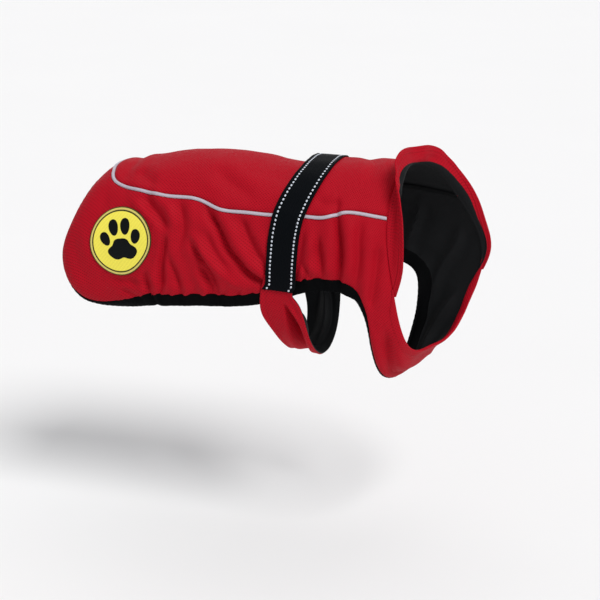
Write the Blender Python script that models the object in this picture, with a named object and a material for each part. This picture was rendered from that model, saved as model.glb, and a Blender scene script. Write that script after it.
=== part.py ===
"""Dog coat: a pull-over coat for a small dog, as it is worn.

Millimetres are used in the tables and turned into metres when a mesh is made.
+X points to the neck, +Y to the coat's left side, +Z up. The origin is on the
underside of the saddle, on the centre back under the webbing belt.

Every piece lies on one smooth hollow form. A place on it is (u, a): u runs along
the back in millimetres, a is the angle in degrees round the body from the centre
back, positive on the left side. Each piece is a wall between two heights above
that form, so neighbouring pieces share the same curve and the same folds.
"""
import bpy
import numpy as np

for old in list(bpy.data.objects):
    bpy.data.objects.remove(old, do_unlink=True)

MM = 0.001
CLOTH = 1.8            # body cloth: shell and lining worked as one
GAP = 0.3              # clearance between neighbouring pieces
COLLAR_T = 1.6         # collar cloth
PIPE_W = 3.0           # reflective piping, across
PIPE_H = 2.6           # its crown above the form
BELT_W = 28.6          # webbing belt over the back
BELT_T = 1.5
HEM_W = 12.5           # elastic hem band
HEM_T = 2.3
NECK_W = 6.5           # binding of the lower neckline
NECK_T = 2.2
BELLY_T = 1.6          # belly band cloth
BADGE_R = (33.0, 30.5)  # round patch on the right side: half its length and height
BADGE_T = 1.2
CENTRE = 0.17          # degrees kept free on each side of a centre seam

# cross-sections of the worn hollow; x and z of the top, the side and the underside,
# the half width at the side, how square the upper and lower halves are, and how far
# the neck end is turned (left side forward, right side back)
FORM_COLS = ("u", "x_top", "x_side", "x_low", "z_top", "z_side", "z_low",
             "half_w", "sq_up", "sq_low", "turn")
FORM = [
    (-240, -228, -248, -247, -50.5,  -99, -173, 30, 2.10, 2.3,  0),
    (-222, -216, -237, -237, -33.4,  -95, -182, 51, 2.10, 2.4,  0),
    (-190, -190, -203, -201, -15.3,  -89, -182, 60, 2.20, 2.5,  0),
    (-168, -168.5, -176.3, -174.4, -11.7,  -84.6, -179.5, 61.5, 2.27, 2.56, 0),
    (-150, -150, -155, -154,  -7.0,  -81, -178, 63, 2.30, 2.6,  0),
    (-125, -124.8, -127.2, -126.6, -2.4,  -76.7, -176.1, 63.9, 2.31, 2.62, 0),
    (-100, -100, -101, -100,  -0.6,  -73, -175, 64, 2.30, 2.6,  0),
    ( -50,  -50,  -50,  -48,  -0.6,  -67, -176, 64, 2.30, 2.5,  0),
    (   0,    0,    0,    2,   0.0,  -65, -180, 63, 2.30, 2.4,  0),
    (  45,   43,   45,   49,   0.5,  -73, -194, 62, 2.30, 2.3,  6),
    (  75, 67.5, 79.3,   75,   1.2,  -81, -198, 60, 2.25, 2.5, 20),
    ( 105, 86.5, 109.5, 105,   2.5,  -83, -167, 53, 2.20, 3.0, 30),
]

# cut lines of one side panel, from the centre back (s 0) round to the centre of the
# chest (s 1): upper edge (saddle seam, then neckline), hem edge, and through how many
# degrees the elastic turns the hem under
CUT_COLS = ("s", "up_u", "up_a", "hem_u", "hem_a", "turn")
CUT = [
    (0.00, -200.8,   0.0, -230,   0.0,  18),
    (0.04, -199.6,   9.0, -230.5, 22.0, 26),
    (0.08, -196.0,  17.0, -231.5, 44.0, 44),
    (0.12, -191.6,  24.4, -232.5, 66.0, 72),
    (0.16, -184.2,  31.3, -232.5, 88.0, 104),
    (0.20, -171.0,  37.5, -229, 109.0, 124),
    (0.24, -156.0,  42.5, -220, 125.5, 126),
    (0.28, -139.0,  47.3, -202, 136.5, 106),
    (0.34, -117.0,  50.5, -174, 139.0, 58),
    (0.40,  -96.0,  54.0, -144, 134.8, 20),
    (0.46,  -76.0,  61.5, -110, 134.5,  6),
    (0.52,  -54.0,  64.0,  -76, 135.0,  6),
    (0.58,  -27.0,  66.0,  -40, 133.8,  6),
    (0.63,    0.0,  65.0,  -10, 128.0,  6),
    (0.68,   24.0,  62.0,   10, 122.5,  6),
    (0.72,   42.0,  54.5,   28, 119.5,  6),
    (0.76,   70.0,  48.0,   44, 118.0,  6),
    (0.80,  105.0,  45.0,   58, 120.0,  20),
    (0.87,  105.0,  88.0,   65, 138.0,  80),
    (0.94,  105.0, 133.0,   64, 158.0, 100),
    (1.00,  105.0, 180.0,   63.5, 180.0, 100),
]
S_BEND = 0.12          # where the saddle's rounded end turns into its side
S_NECK = 0.80          # where the saddle seam meets the neckline
TURN_REACH = 20.0      # how far up from the hem line the cloth turns under

# largest folds: a soft trough (minus) or ridge (plus) from one place to another,
# half as wide as stated on each side of its line
FOLD_COLS = ("side", "u0", "a0", "u1", "a1", "half", "depth")
FOLDS = [
    (-1, -142,  54, -124, 120,  8.0, -4.2),
    (-1, -125,  58, -104, 122,  8.0,  2.4),
    (-1, -107,  82,  -84, 128,  7.0, -3.8),
    (-1,  -92,  92,  -66, 128,  6.5, -3.2),
    (-1,  -78, 103,  -42, 127,  6.5, -3.0),
    (-1, -148, 112, -142, 128,  5.5, -2.4),
    (-1,    5,  78,    9, 114,  6.0, -2.2),
    (-1,   26,  80,   22, 111,  6.0, -2.4),
    (-1,   42,  74,   40, 110,  6.0, -2.2),
    (-1,   62,  60,   66, 120,  7.0, -3.2),
    (-1,   80,  55,   84, 118,  6.5,  2.0),
    ( 1, -150,  60, -128, 122,  8.0, -3.6),
    ( 1, -132,  66, -112, 124,  8.0,  2.0),
    ( 1, -116,  76,  -98, 128,  7.5, -3.4),
    ( 1,  -86,  92,  -72, 128,  6.5, -2.8),
    ( 1,  -56, 100,  -48, 127,  6.5, -2.6),
    ( 1,   20,  84,   26, 113,  6.0, -2.2),
    ( 0,  -92,  32,  -48,  60,  9.0, -1.6),
    ( 0, -190,  -6, -178,  34,  9.0, -1.8),
    ( 0,  -86, -20,  -60, -58,  9.0, -1.4),
]

# middle line of the belt over the back, and how high it rides above the form
BELT_COLS = ("a", "u", "lift")
BELT = [
    (  0.0,   4.0, 2.2),
    (20.0, 3.0, 2.6),
    (40.0, -2.0, 2.9),
    (52.0, -6.6, 3.3),
    ( 65.0, -11.2, 3.4),
    ( 80.0, -14.8, 3.3),
    (100.0, -17.2, 4.0),
    (112.0, -18.2, 4.8),
    (119.0, -19.6, 4.9),
    (123.8, -21.3, 4.9),
]

# middle line of the belly band, its width, and how high it rides above the form
BELLY_COLS = ("a", "u", "width", "lift")
BELLY = [
    (114.0, -20.5, 28.0, 2.3),
    (121.0, -22.0, 28.5, 2.6),
    (127.0, -23.5, 30.5, 3.4),
    (135.0, -21.8, 37.5, 3.0),
    (143.0, -18.3, 37.0, 2.2),
    (150.0, -15.2, 33.5, 1.6),
    (160.0, -12.2, 30.5, 1.0),
    (180.0,  -9.5, 28.5, 0.5),
]

# stand-up collar: height, and how far it leans out of the form's run at its rim
COLLAR_COLS = ("a", "height", "lean")
COLLAR = [
    (-114.0,  1.5,   6.0),
    (-105.0,  6.0,  14.0),
    ( -95.0, 10.5,  28.0),
    ( -80.0, 16.0,  50.0),
    ( -60.0, 23.0,  78.0),
    ( -45.0, 31.0, 106.0),
    ( -36.0, 35.0, 118.0),
    ( -28.0, 35.5, 120.0),
    ( -20.0, 31.5, 113.0),
    ( -12.0, 24.5, 103.0),
    (   0.0, 17.0,  97.0),
    (  12.0, 18.6, 101.0),
    (  22.0, 22.0, 108.0),
    (  32.0, 22.0, 110.0),
    (  42.0, 20.2, 102.0),
    (  52.0, 16.0,  80.0),
    (  65.0, 10.5,  44.0),
    (  80.0,  8.5,  22.0),
    (  98.0,  6.0,  12.0),
    ( 114.0,  1.5,   6.0),
]
COLLAR_END = 114.0
BADGE_AT = (-165.5, -82.0)


def columns(rows, names):
    data = np.array(rows, float)
    return {name: data[:, k] for k, name in enumerate(names)}


def spline(xs, ys, x):
    """smooth curve through the rows of a table (natural cubic)"""
    n = len(xs)
    h = np.diff(xs)
    lhs, rhs = np.eye(n), np.zeros(n)
    for i in range(1, n - 1):
        lhs[i, i - 1:i + 2] = h[i - 1], 2 * (h[i - 1] + h[i]), h[i]
        rhs[i] = 6 * ((ys[i + 1] - ys[i]) / h[i] - (ys[i] - ys[i - 1]) / h[i - 1])
    m = np.linalg.solve(lhs, rhs)
    x = np.asarray(x, float)
    i = np.clip(np.searchsorted(xs, x) - 1, 0, n - 2)
    p, q, w = xs[i + 1] - x, x - xs[i], h[i]
    return ((m[i] * p**3 + m[i + 1] * q**3) / (6 * w)
            + (ys[i] / w - m[i] * w / 6) * p + (ys[i + 1] / w - m[i + 1] * w / 6) * q)


FORM_T = columns(FORM, FORM_COLS)
CUT_T = columns(CUT, CUT_COLS)
FOLD_T = columns(FOLDS, FOLD_COLS)
BELT_TAB = columns(BELT, BELT_COLS)
BELLY_TAB = columns(BELLY, BELLY_COLS)
COLLAR_TAB = columns(COLLAR, COLLAR_COLS)


def form(u, a):
    """the smooth hollow under the coat"""
    u, a = np.broadcast_arrays(np.asarray(u, float), np.asarray(a, float))
    c = {name: spline(FORM_T["u"], FORM_T[name], u) for name in FORM_COLS[1:]}
    s, k = np.sin(np.radians(a)), np.cos(np.radians(a))
    high = k >= 0
    b = np.where(high, c["z_top"] - c["z_side"], c["z_side"] - c["z_low"])
    n = np.where(high, c["sq_up"], c["sq_low"])
    r = (np.abs(s / c["half_w"])**n + np.abs(k / b)**n)**(-1 / n)
    mean = (c["x_top"] + c["x_low"]) / 2
    x = c["x_side"] + (c["x_top"] - c["x_low"]) / 2 * k + (mean - c["x_side"]) * k * k + c["turn"] * s
    return np.stack([x, r * s, c["z_side"] + r * k], -1)


def local(u, a):
    """point, outward direction and the two runs of the form at a place"""
    e = 0.25
    du = (form(u + e, a) - form(u - e, a)) / (2 * e)
    da = (form(u, a + e) - form(u, a - e)) / (2 * e)
    n = np.cross(du, da)
    return form(u, a), n / np.linalg.norm(n, axis=-1, keepdims=True), du, da


def dip(u, a):
    """the saddle hangs a little behind the belt, which spans it"""
    a = (np.asarray(a, float) + 180.0) % 360.0 - 180.0
    rise = np.clip((np.asarray(u, float) + 92.0) / 78.0, 0, 1)
    fall = np.clip((3.5 - np.asarray(u, float)) / 9.0, 0, 1)
    wide = np.clip((56.0 - np.abs(a)) / 30.0, 0, 1)
    soft = [x * x * (3 - 2 * x) for x in (rise, fall, wide)]
    return -6.8 * soft[0] ** 1.3 * soft[1] * soft[2]


def folds(u, a):
    """height of the folds above the form"""
    a = (np.asarray(a, float) + 180.0) % 360.0 - 180.0
    total = np.zeros(np.broadcast(u, a).shape)
    for side, u0, a0, u1, a1, half, depth in zip(*(FOLD_T[c] for c in FOLD_COLS)):
        for turned in ((1,) if side == 0 else (side,)):
            x, y = np.asarray(u, float), np.asarray(a, float) * turned * 1.1
            ex, ey = u1 - u0, (a1 - a0) * 1.1
            along = ((x - u0) * ex + (y - a0 * 1.1) * ey) / (ex * ex + ey * ey)
            across = (-(x - u0) * ey + (y - a0 * 1.1) * ex) / np.hypot(ex, ey)
            t = np.clip((along + 0.15) / 1.3, 0, 1)
            on_side = 1.0 if side == 0 else np.clip(np.asarray(a) * turned / 20.0, 0, 1)
            total = total + depth * np.exp(-(across / half)**2) * np.sin(np.pi * t)**2 * on_side
    flat = np.hypot(np.asarray(u) - BADGE_AT[0], (np.asarray(a) - BADGE_AT[1]) * 1.1)
    return total * np.clip((flat - BADGE_R[0] - 1.0) / 6.0, 0, 1) + dip(u, a)


def cloth(u, a, lift=0.0):
    p, n, _, _ = local(u, a)
    return p + n * (folds(u, a) + lift)[..., None]


def beside(u, a, dist):
    """a line of places moved sideways over the cloth; plus is to the left of its run"""
    p, n, du, da = local(u, a)
    run = np.gradient(p, axis=0)
    run /= np.linalg.norm(run, axis=-1, keepdims=True)
    way = np.cross(n, run) * np.broadcast_to(dist, u.shape)[:, None]
    g11, g12, g22 = (du * du).sum(-1), (du * da).sum(-1), (da * da).sum(-1)
    b1, b2 = (du * way).sum(-1), (da * way).sum(-1)
    det = g11 * g22 - g12 * g12
    return u + (g22 * b1 - g12 * b2) / det, a + (g11 * b2 - g12 * b1) / det


def upper_edge(s, inset):
    """upper edge of a side panel (a positive); plus inset moves it down into the panel"""
    low = CUT_T["s"] <= S_NECK + 1e-6
    high = CUT_T["s"] >= S_NECK - 1e-6
    seam = s <= S_NECK + 1e-6
    u = np.empty_like(s)
    a = np.empty_like(s)
    su = spline(CUT_T["s"][low], CUT_T["up_u"][low], s[seam])
    sa = spline(CUT_T["s"][low], CUT_T["up_a"][low], s[seam])
    u[seam], a[seam] = beside(su, sa, inset)
    neck_a = spline(CUT_T["s"][high], CUT_T["up_a"][high], s[~seam])
    u[~seam], a[~seam] = 105.0, neck_a
    a[0] = max(a[0], 0.0)
    return u, a


def hem_edge(s, inset):
    """hem line of a side panel; plus inset moves it up into the panel"""
    u = spline(CUT_T["s"], CUT_T["hem_u"], s)
    a = spline(CUT_T["s"], CUT_T["hem_a"], s)
    return beside(u, a, -inset)


def neck_cut(a):
    """how much of the neckline the binding takes at an angle (a positive)"""
    t = np.clip((a - (COLLAR_END + 2.0)) / 14.0, 0, 1)
    return 2.2 + (NECK_W - 2.2) * t * t * (3 - 2 * t)


def back_u(a_signed, u, dist):
    """u moved back from the neckline by a distance over the cloth"""
    _, _, du, _ = local(u, a_signed)
    return u - dist / np.linalg.norm(du, axis=-1)


def under(s, dist):
    """how the hem turns under, dist from the hem line: its shift along the cloth, its
    shift inward and the angle it has turned through"""
    s, dist = np.broadcast_arrays(np.asarray(s, float), np.asarray(dist, float))
    turn = np.radians(spline(CUT_T["s"], CUT_T["turn"], s))
    d = np.maximum(TURN_REACH - dist, 0.0)
    t = np.minimum(d / TURN_REACH, 1.0)
    part = (np.arange(16) + 0.5) / 16
    phi = turn[..., None] * (t[..., None] * part) ** 1.5
    past = np.maximum(d - TURN_REACH, 0.0)
    along = TURN_REACH * t * np.cos(phi).mean(-1) + past * np.cos(turn) - d
    inward = TURN_REACH * t * np.sin(phi).mean(-1) + past * np.sin(turn)
    return along, inward, turn * t ** 1.5


def hem_down(s, side):
    """direction over the form from the cloth down to the hem, one for each column"""
    (u0, a0), (u1, a1) = hem_edge(s, 16.0), hem_edge(s, 4.0)
    for a in (a0, a1):
        a[0], a[-1] = 0.0, 180.0
    way = form(u1, side * a1) - form(u0, side * a0)
    return way / np.linalg.norm(way, axis=-1, keepdims=True)


def bent(u, a, s, dist, down, height):
    """a place of the cloth near the hem, where it turns under"""
    p, n, _, _ = local(u, a)
    t = down - (down * n).sum(-1, keepdims=True) * n
    t = t / np.linalg.norm(t, axis=-1, keepdims=True)
    along, inward, phi = (v[..., None] for v in under(s, dist))
    face = n * np.cos(phi) + t * np.sin(phi)
    return p + t * along - n * inward + face * np.asarray(height)[..., None]


S_PANEL = np.concatenate([np.linspace(0, S_BEND, 6), np.linspace(S_BEND, S_NECK, 40)[1:],
                          np.linspace(S_NECK, 1.0, 12)[1:]])
ON_SEAM = int(np.argmin(np.abs(S_PANEL - S_NECK)))
BENDS = 5              # columns round half of the saddle's rounded end


def side_lattice(side):
    """places of a side panel, and their distances from the hem line"""
    s = S_PANEL
    top_u, top_a = upper_edge(s, PIPE_W / 2 + GAP)
    hem_u, hem_a = hem_edge(s, HEM_W + GAP)
    top_a[0] = hem_a[0] = CENTRE
    top_a[-1] = hem_a[-1] = 180 - CENTRE
    # the neckline edge keeps clear of the collar and the binding
    for k in range(ON_SEAM, len(s)):
        cut = GAP if top_a[k] <= COLLAR_END + 1 else neck_cut(top_a[k]) + 2 * GAP
        top_u[k] = back_u(side * top_a[k], 105.0, cut)
    rows = 9
    t = 1 - (1 - np.linspace(0, 1, rows)[None, :]) ** 1.3
    u = top_u[:, None] + (hem_u - top_u)[:, None] * t
    a = top_a[:, None] + (hem_a - top_a)[:, None] * t
    p = cloth(u, side * a)
    step = np.linalg.norm(np.diff(p, axis=1), axis=-1)
    left = np.concatenate([np.cumsum(step[:, ::-1], axis=1)[:, ::-1], np.zeros((len(s), 1))], axis=1)
    return u, side * a, left + HEM_W + GAP


def hem_lattice(side):
    """places of a hem band, and their distances from the hem line"""
    dist = np.array([HEM_W, HEM_W / 2, 0.0])
    rows = [hem_edge(S_PANEL, d) for d in dist]
    u = np.stack([r[0] for r in rows], 1)
    a = np.stack([r[1] for r in rows], 1)
    a[0], a[-1] = CENTRE, 180 - CENTRE
    return u, side * a, np.broadcast_to(dist, u.shape)


def saddle_lattice():
    """four-sided patch: rounded rear end, two seam sides and the neckline"""
    s_side = S_PANEL[BENDS:ON_SEAM + 1]
    s_rear = S_PANEL[:BENDS + 1]
    s = np.concatenate([s_rear, s_side[1:]])
    eu, ea = upper_edge(s, -(PIPE_W / 2 + GAP))
    ea[0] = 0.0
    rear_u = np.concatenate([eu[:BENDS + 1][::-1], eu[1:BENDS + 1]])
    rear_a = np.concatenate([-ea[:BENDS + 1][::-1], ea[1:BENDS + 1]])
    side_u, side_a = eu[BENDS:], ea[BENDS:]
    n, m = len(side_u), len(rear_u)
    front_a = np.linspace(-side_a[-1], side_a[-1], m)
    front_u = back_u(front_a, np.full(m, 105.0), GAP)
    x = np.linspace(0, 1, n)[:, None]
    y = np.linspace(0, 1, m)[None, :]
    side_u = side_u.copy()
    side_u[-1] = front_u[-1]

    def coons(right, left, rear, front):
        c = (1 - y) * right[:, None] + y * left[:, None] + (1 - x) * rear[None, :] + x * front[None, :]
        return (c - (1 - x) * (1 - y) * rear[0] - (1 - x) * y * rear[-1]
                - x * (1 - y) * front[0] - x * y * front[-1])
    u = coons(np.concatenate([side_u[:-1], [front_u[0]]]), side_u, rear_u, front_u)
    a = coons(-side_a, side_a, rear_a, front_a)
    return u, a


def mesh_object(name, points, faces, colour, rough, metal=0.0):
    """closed body of triangles; each face is split from its lowest point number"""
    pts = np.asarray(points, float)
    tris = []
    for f in faces:
        k = f.index(min(f))
        f = f[k:] + f[:k]
        tris += [(f[0], f[j], f[j + 1]) for j in range(1, len(f) - 1)]
    t = np.array(tris)
    volume = np.einsum("ij,ij->i", pts[t[:, 0]], np.cross(pts[t[:, 1]], pts[t[:, 2]])).sum()
    faces = tris if volume > 0 else [tri[::-1] for tri in tris]
    me = bpy.data.meshes.new(name)
    me.from_pydata((pts * MM).tolist(), [], faces)
    me.validate()
    me.update()
    me.shade_smooth()
    me.set_sharp_from_angle(angle=0.9)
    ob = bpy.data.objects.new(name, me)
    bpy.context.scene.collection.objects.link(ob)
    mat = bpy.data.materials.new(name + "_finish")
    mat.use_nodes = True
    bsdf = mat.node_tree.nodes["Principled BSDF"]
    bsdf.inputs["Base Color"].default_value = (*colour, 1.0)
    bsdf.inputs["Roughness"].default_value = rough
    bsdf.inputs["Metallic"].default_value = metal
    me.materials.append(mat)
    return ob


def wall(name, low, high, colour, rough):
    """closed wall between two equal lattices of points"""
    n, m = low.shape[:2]
    pts = np.concatenate([low.reshape(-1, 3), high.reshape(-1, 3)])
    k = n * m

    def at(i, j, layer):
        return layer * k + i * m + j
    faces = []
    for i in range(n - 1):
        for j in range(m - 1):
            faces.append((at(i, j, 1), at(i + 1, j, 1), at(i + 1, j + 1, 1), at(i, j + 1, 1)))
            faces.append((at(i, j, 0), at(i, j + 1, 0), at(i + 1, j + 1, 0), at(i + 1, j, 0)))
    for i in range(n - 1):
        faces.append((at(i, 0, 0), at(i + 1, 0, 0), at(i + 1, 0, 1), at(i, 0, 1)))
        faces.append((at(i, m - 1, 1), at(i + 1, m - 1, 1), at(i + 1, m - 1, 0), at(i, m - 1, 0)))
    for j in range(m - 1):
        faces.append((at(0, j, 1), at(0, j + 1, 1), at(0, j + 1, 0), at(0, j, 0)))
        faces.append((at(n - 1, j, 0), at(n - 1, j + 1, 0), at(n - 1, j + 1, 1), at(n - 1, j, 1)))
    return mesh_object(name, pts, faces, colour, rough)


def tube(name, rings, colour, rough):
    """closed run of equal rings of points with flat ends"""
    n, m = rings.shape[:2]
    faces = [(i * m + j, i * m + (j + 1) % m, (i + 1) * m + (j + 1) % m, (i + 1) * m + j)
             for i in range(n - 1) for j in range(m)]
    faces.append(tuple(range(m - 1, -1, -1)))
    faces.append(tuple((n - 1) * m + j for j in range(m)))
    return mesh_object(name, rings.reshape(-1, 3), faces, colour, rough)


RED = (0.36, 0.012, 0.022)
BLACK = (0.008, 0.009, 0.011)
SILVER = (0.44, 0.40, 0.46)
YELLOW = (0.92, 0.78, 0.10)


def panel(name, lattice, thick, colour, rough):
    u, a = lattice
    return wall(name, cloth(u, a), cloth(u, a, thick), colour, rough)


def hemmed(name, side, lattice, thick, colour, rough):
    """cloth of a side panel or its hem band, turned under at the hem line"""
    u, a, dist = lattice
    s = S_PANEL[:, None]
    down = hem_down(S_PANEL, side)[:, None, :]
    fold = folds(u, a)
    return wall(name, bent(u, a, s, dist, down, fold), bent(u, a, s, dist, down, fold + thick), colour, rough)


# --- saddle and the two side panels
panel("back_panel", saddle_lattice(), CLOTH, RED, 0.75)
hemmed("side_right", -1, side_lattice(-1), CLOTH, RED, 0.75)
hemmed("side_left", 1, side_lattice(1), CLOTH, RED, 0.75)

# --- elastic hem bands, a little thicker than the cloth they bind
for label, sign in (("right", -1), ("left", 1)):
    hemmed("hem_band_" + label, sign, hem_lattice(sign), HEM_T, BLACK, 0.8)

# --- piping round the saddle: straight sides with a raised crown
pipe_s = S_PANEL[:ON_SEAM + 1].copy()
pu, pa = upper_edge(pipe_s, 0.0)
u_line = np.concatenate([pu[::-1], pu[1:]])
a_line = np.concatenate([-pa[::-1], pa[1:]])
a_line[len(pu) - 1] = 0.0
end = back_u(a_line[[0, -1]], np.array([105.0, 105.0]), GAP)
u_line[0], u_line[-1] = end
ring = [(-PIPE_W / 2, 0.0), (-PIPE_W / 2, PIPE_H - 0.8), (0.0, PIPE_H), (PIPE_W / 2, PIPE_H - 0.8), (PIPE_W / 2, 0.0)]
rings = []
for off, height in ring:
    ou, oa = beside(u_line, a_line, off)
    ou[0], ou[-1] = u_line[0], u_line[-1]
    rings.append(cloth(ou, oa, np.full(len(ou), height)))
tube("piping", np.stack(rings, 1), SILVER, 0.45)

# --- webbing belt over the back
angles = 123.8 * np.sin(np.linspace(-np.pi / 2, np.pi / 2, 39))
mid_u = spline(BELT_TAB["a"], BELT_TAB["u"], np.abs(angles))
ride = spline(BELT_TAB["a"], BELT_TAB["lift"], np.abs(angles))
rows_u, rows_a = [], []
for off in (-BELT_W / 2, 0.0, BELT_W / 2):
    ou, oa = beside(mid_u, angles, off)
    rows_u.append(ou)
    rows_a.append(oa)
bu, ba = np.stack(rows_u, 1), np.stack(rows_a, 1)


def strap(name, u, a, lift, thick, colour, rough):
    """webbing or band that spans small folds below it"""
    p, n, _, _ = local(u, a)
    low = p + n * lift[..., None]
    return wall(name, low, low + n * thick, colour, rough)


strap("belt", bu, ba, ride[:, None] + 0 * bu, BELT_T, BLACK, 0.7)

# --- belly band from one side to the other under the chest
angles = np.concatenate([np.linspace(114, 180, 14), np.linspace(180, 246, 14)[1:]])
fold_a = np.where(angles > 180, 360 - angles, angles)
mid_u = spline(BELLY_TAB["a"], BELLY_TAB["u"], fold_a)
wide = spline(BELLY_TAB["a"], BELLY_TAB["width"], fold_a)
ride = spline(BELLY_TAB["a"], BELLY_TAB["lift"], fold_a)
rows_u, rows_a = [], []
for part in (-0.5, -0.22, 0.0, 0.22, 0.5):
    ou, oa = beside(mid_u, angles, part * wide)
    rows_u.append(ou)
    rows_a.append(oa)
bu, ba = np.stack(rows_u, 1), np.stack(rows_a, 1)
fold_a = np.where(ba > 180, 360 - ba, ba)
drawn_in = np.exp(-((bu + 8.5) / 8.0)**2) * np.exp(-((fold_a - 153.0) / 13.0)**2)    # one deep pleat on each side
deep = np.where(ba > 180, 8.0, 4.6) * drawn_in
strap("belly_band", bu, ba, ride[:, None] - deep, BELLY_T, RED, 0.75)

# --- collar standing up from the neckline


def collar_ways(n, du, angles):
    """forward along the neck, and upward with a little outward, for each angle"""
    fwd = du / np.linalg.norm(du, axis=-1, keepdims=True)
    up = np.array([0.0, 0.0, 1.0])
    mix = np.clip((np.abs(angles) - 45) / 45, 0, 1)[:, None]
    high, low = 0.85 * up + 0.30 * n, n + 0.35 * up
    rise = [v / np.linalg.norm(v, axis=-1, keepdims=True) for v in (high, low)]
    rise = (1 - mix) * rise[0] + mix * rise[1]
    rise = rise - (rise * fwd).sum(-1, keepdims=True) * fwd
    return fwd, rise / np.linalg.norm(rise, axis=-1, keepdims=True)


_, neck_a = upper_edge(S_PANEL, 0.0)
neck_a = neck_a[ON_SEAM:]
neck_a = neck_a[(neck_a > 46) & (neck_a < COLLAR_END - 4)]
m = 2 * BENDS + 1
col_a = np.concatenate([[-COLLAR_END], -neck_a[::-1], np.linspace(-45, 45, m), neck_a, [COLLAR_END]])
height = spline(COLLAR_TAB["a"], COLLAR_TAB["height"], col_a)
lean = np.radians(spline(COLLAR_TAB["a"], COLLAR_TAB["lean"], col_a))
p, n, du, da = local(np.full(len(col_a), 105.0), col_a)
fwd, rise = collar_ways(n, du, col_a)
base = p + n * ((CLOTH - COLLAR_T) / 2)
low_rows, high_rows = [], []
STEPS = 24
spot = base.copy()
for k in range(STEPS + 1):
    turn = lean * min(1.0, k / (0.45 * STEPS))
    way = fwd * np.cos(turn)[:, None] + rise * np.sin(turn)[:, None]
    out = np.cross(way, np.gradient(spot, axis=0))
    out /= np.linalg.norm(out, axis=-1, keepdims=True)
    if k in (0, 4, 8, 12, 18, 24):
        low_rows.append(spot.copy())
        high_rows.append(spot + out * COLLAR_T)
    spot = spot + way * (height / STEPS)[:, None]
wall("collar", np.stack(low_rows, 1), np.stack(high_rows, 1), RED, 0.75)

# --- binding of the lower neckline between the collar's ends
_, nb_a = upper_edge(S_PANEL, 0.0)
nb_a = nb_a[ON_SEAM:]
nb_a = nb_a[nb_a > COLLAR_END + 1]
nb_a = np.concatenate([nb_a, 360 - nb_a[:-1][::-1]])
nb_fold = np.where(nb_a > 180, 360 - nb_a, nb_a)
top_u = np.full(len(nb_a), 105.0)
low_u = back_u(nb_a, top_u, neck_cut(nb_fold))
for first, second in ((0, 1), (-1, -2)):       # its ends stay clear of the slanting panel edge
    low_u[first] += 0.15 * (low_u[second] - low_u[first])
    nb_a[first] += 0.15 * (nb_a[second] - nb_a[first])
panel("neck_band", (np.stack([top_u, low_u], 1), np.stack([nb_a, nb_a], 1)), NECK_T, RED, 0.75)

# --- round patch sewn on the right side
cu, ca = BADGE_AT
_, n, du, da = local(np.array(cu), np.array(ca))
e1 = du / np.linalg.norm(du)
e2 = np.cross(n, e1)
solve = np.linalg.pinv(np.stack([du, da], -1))
spokes = 28
radii = (0.30, 0.65, 1.0)
uv = [(cu, ca)]
for r in radii:
    for k in range(spokes):
        th = 2 * np.pi * k / spokes
        d = solve @ (e1 * r * BADGE_R[0] * np.cos(th) + e2 * r * BADGE_R[1] * np.sin(th))
        uv.append((cu + d[0], ca + d[1]))
uv = np.array(uv)
low = cloth(uv[:, 0], uv[:, 1], np.full(len(uv), CLOTH + GAP + 0.15))
high = cloth(uv[:, 0], uv[:, 1], np.full(len(uv), CLOTH + GAP + 0.15 + BADGE_T))
count = len(uv)
faces = []
for layer, flip in ((1, False), (0, True)):
    o = layer * count
    for k in range(spokes):
        k2 = (k + 1) % spokes
        tri = [(o, o + 1 + k, o + 1 + k2)]
        for r in range(len(radii) - 1):
            b0, b1 = o + 1 + r * spokes, o + 1 + (r + 1) * spokes
            tri.append((b0 + k, b1 + k, b1 + k2, b0 + k2))
        faces += [tuple(reversed(f)) for f in tri] if flip else tri
o = 1 + (len(radii) - 1) * spokes
for k in range(spokes):
    k2 = (k + 1) % spokes
    faces.append((count + o + k2, count + o + k, o + k, o + k2))
mesh_object("badge", np.concatenate([low, high]), faces, YELLOW, 0.6)
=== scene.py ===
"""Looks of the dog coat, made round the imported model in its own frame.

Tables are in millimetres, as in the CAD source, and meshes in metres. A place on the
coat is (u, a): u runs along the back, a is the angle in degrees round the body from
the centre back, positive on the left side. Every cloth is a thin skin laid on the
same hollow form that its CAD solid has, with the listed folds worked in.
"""

import math

import bpy
import numpy as np
from mathutils import Matrix, Vector, noise


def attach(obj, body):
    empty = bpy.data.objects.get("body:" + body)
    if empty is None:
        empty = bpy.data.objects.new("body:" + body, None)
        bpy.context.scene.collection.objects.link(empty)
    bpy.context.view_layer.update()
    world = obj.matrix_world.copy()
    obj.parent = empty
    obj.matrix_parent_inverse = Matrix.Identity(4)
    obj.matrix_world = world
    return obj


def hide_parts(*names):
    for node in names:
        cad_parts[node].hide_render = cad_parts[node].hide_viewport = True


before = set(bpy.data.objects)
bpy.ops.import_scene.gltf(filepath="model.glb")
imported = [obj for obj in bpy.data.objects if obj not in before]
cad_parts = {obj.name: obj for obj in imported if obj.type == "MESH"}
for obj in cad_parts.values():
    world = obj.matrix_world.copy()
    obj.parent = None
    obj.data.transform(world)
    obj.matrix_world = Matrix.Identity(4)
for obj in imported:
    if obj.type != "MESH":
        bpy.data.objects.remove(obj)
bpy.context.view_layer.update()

MM = 0.001
FACE = 1.7             # outer face of the cloth above the form
BACK = 0.5             # inner face, the lining
PIPE_R = 1.6           # reflective piping
BELT_W = 28.6
HEM_W = 12.5
NECK_W = 6.5
BADGE_R = (32.2, 29.75)
BADGE_AT = (-165.5, -82.0)
CENTRE = 0.17

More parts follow.
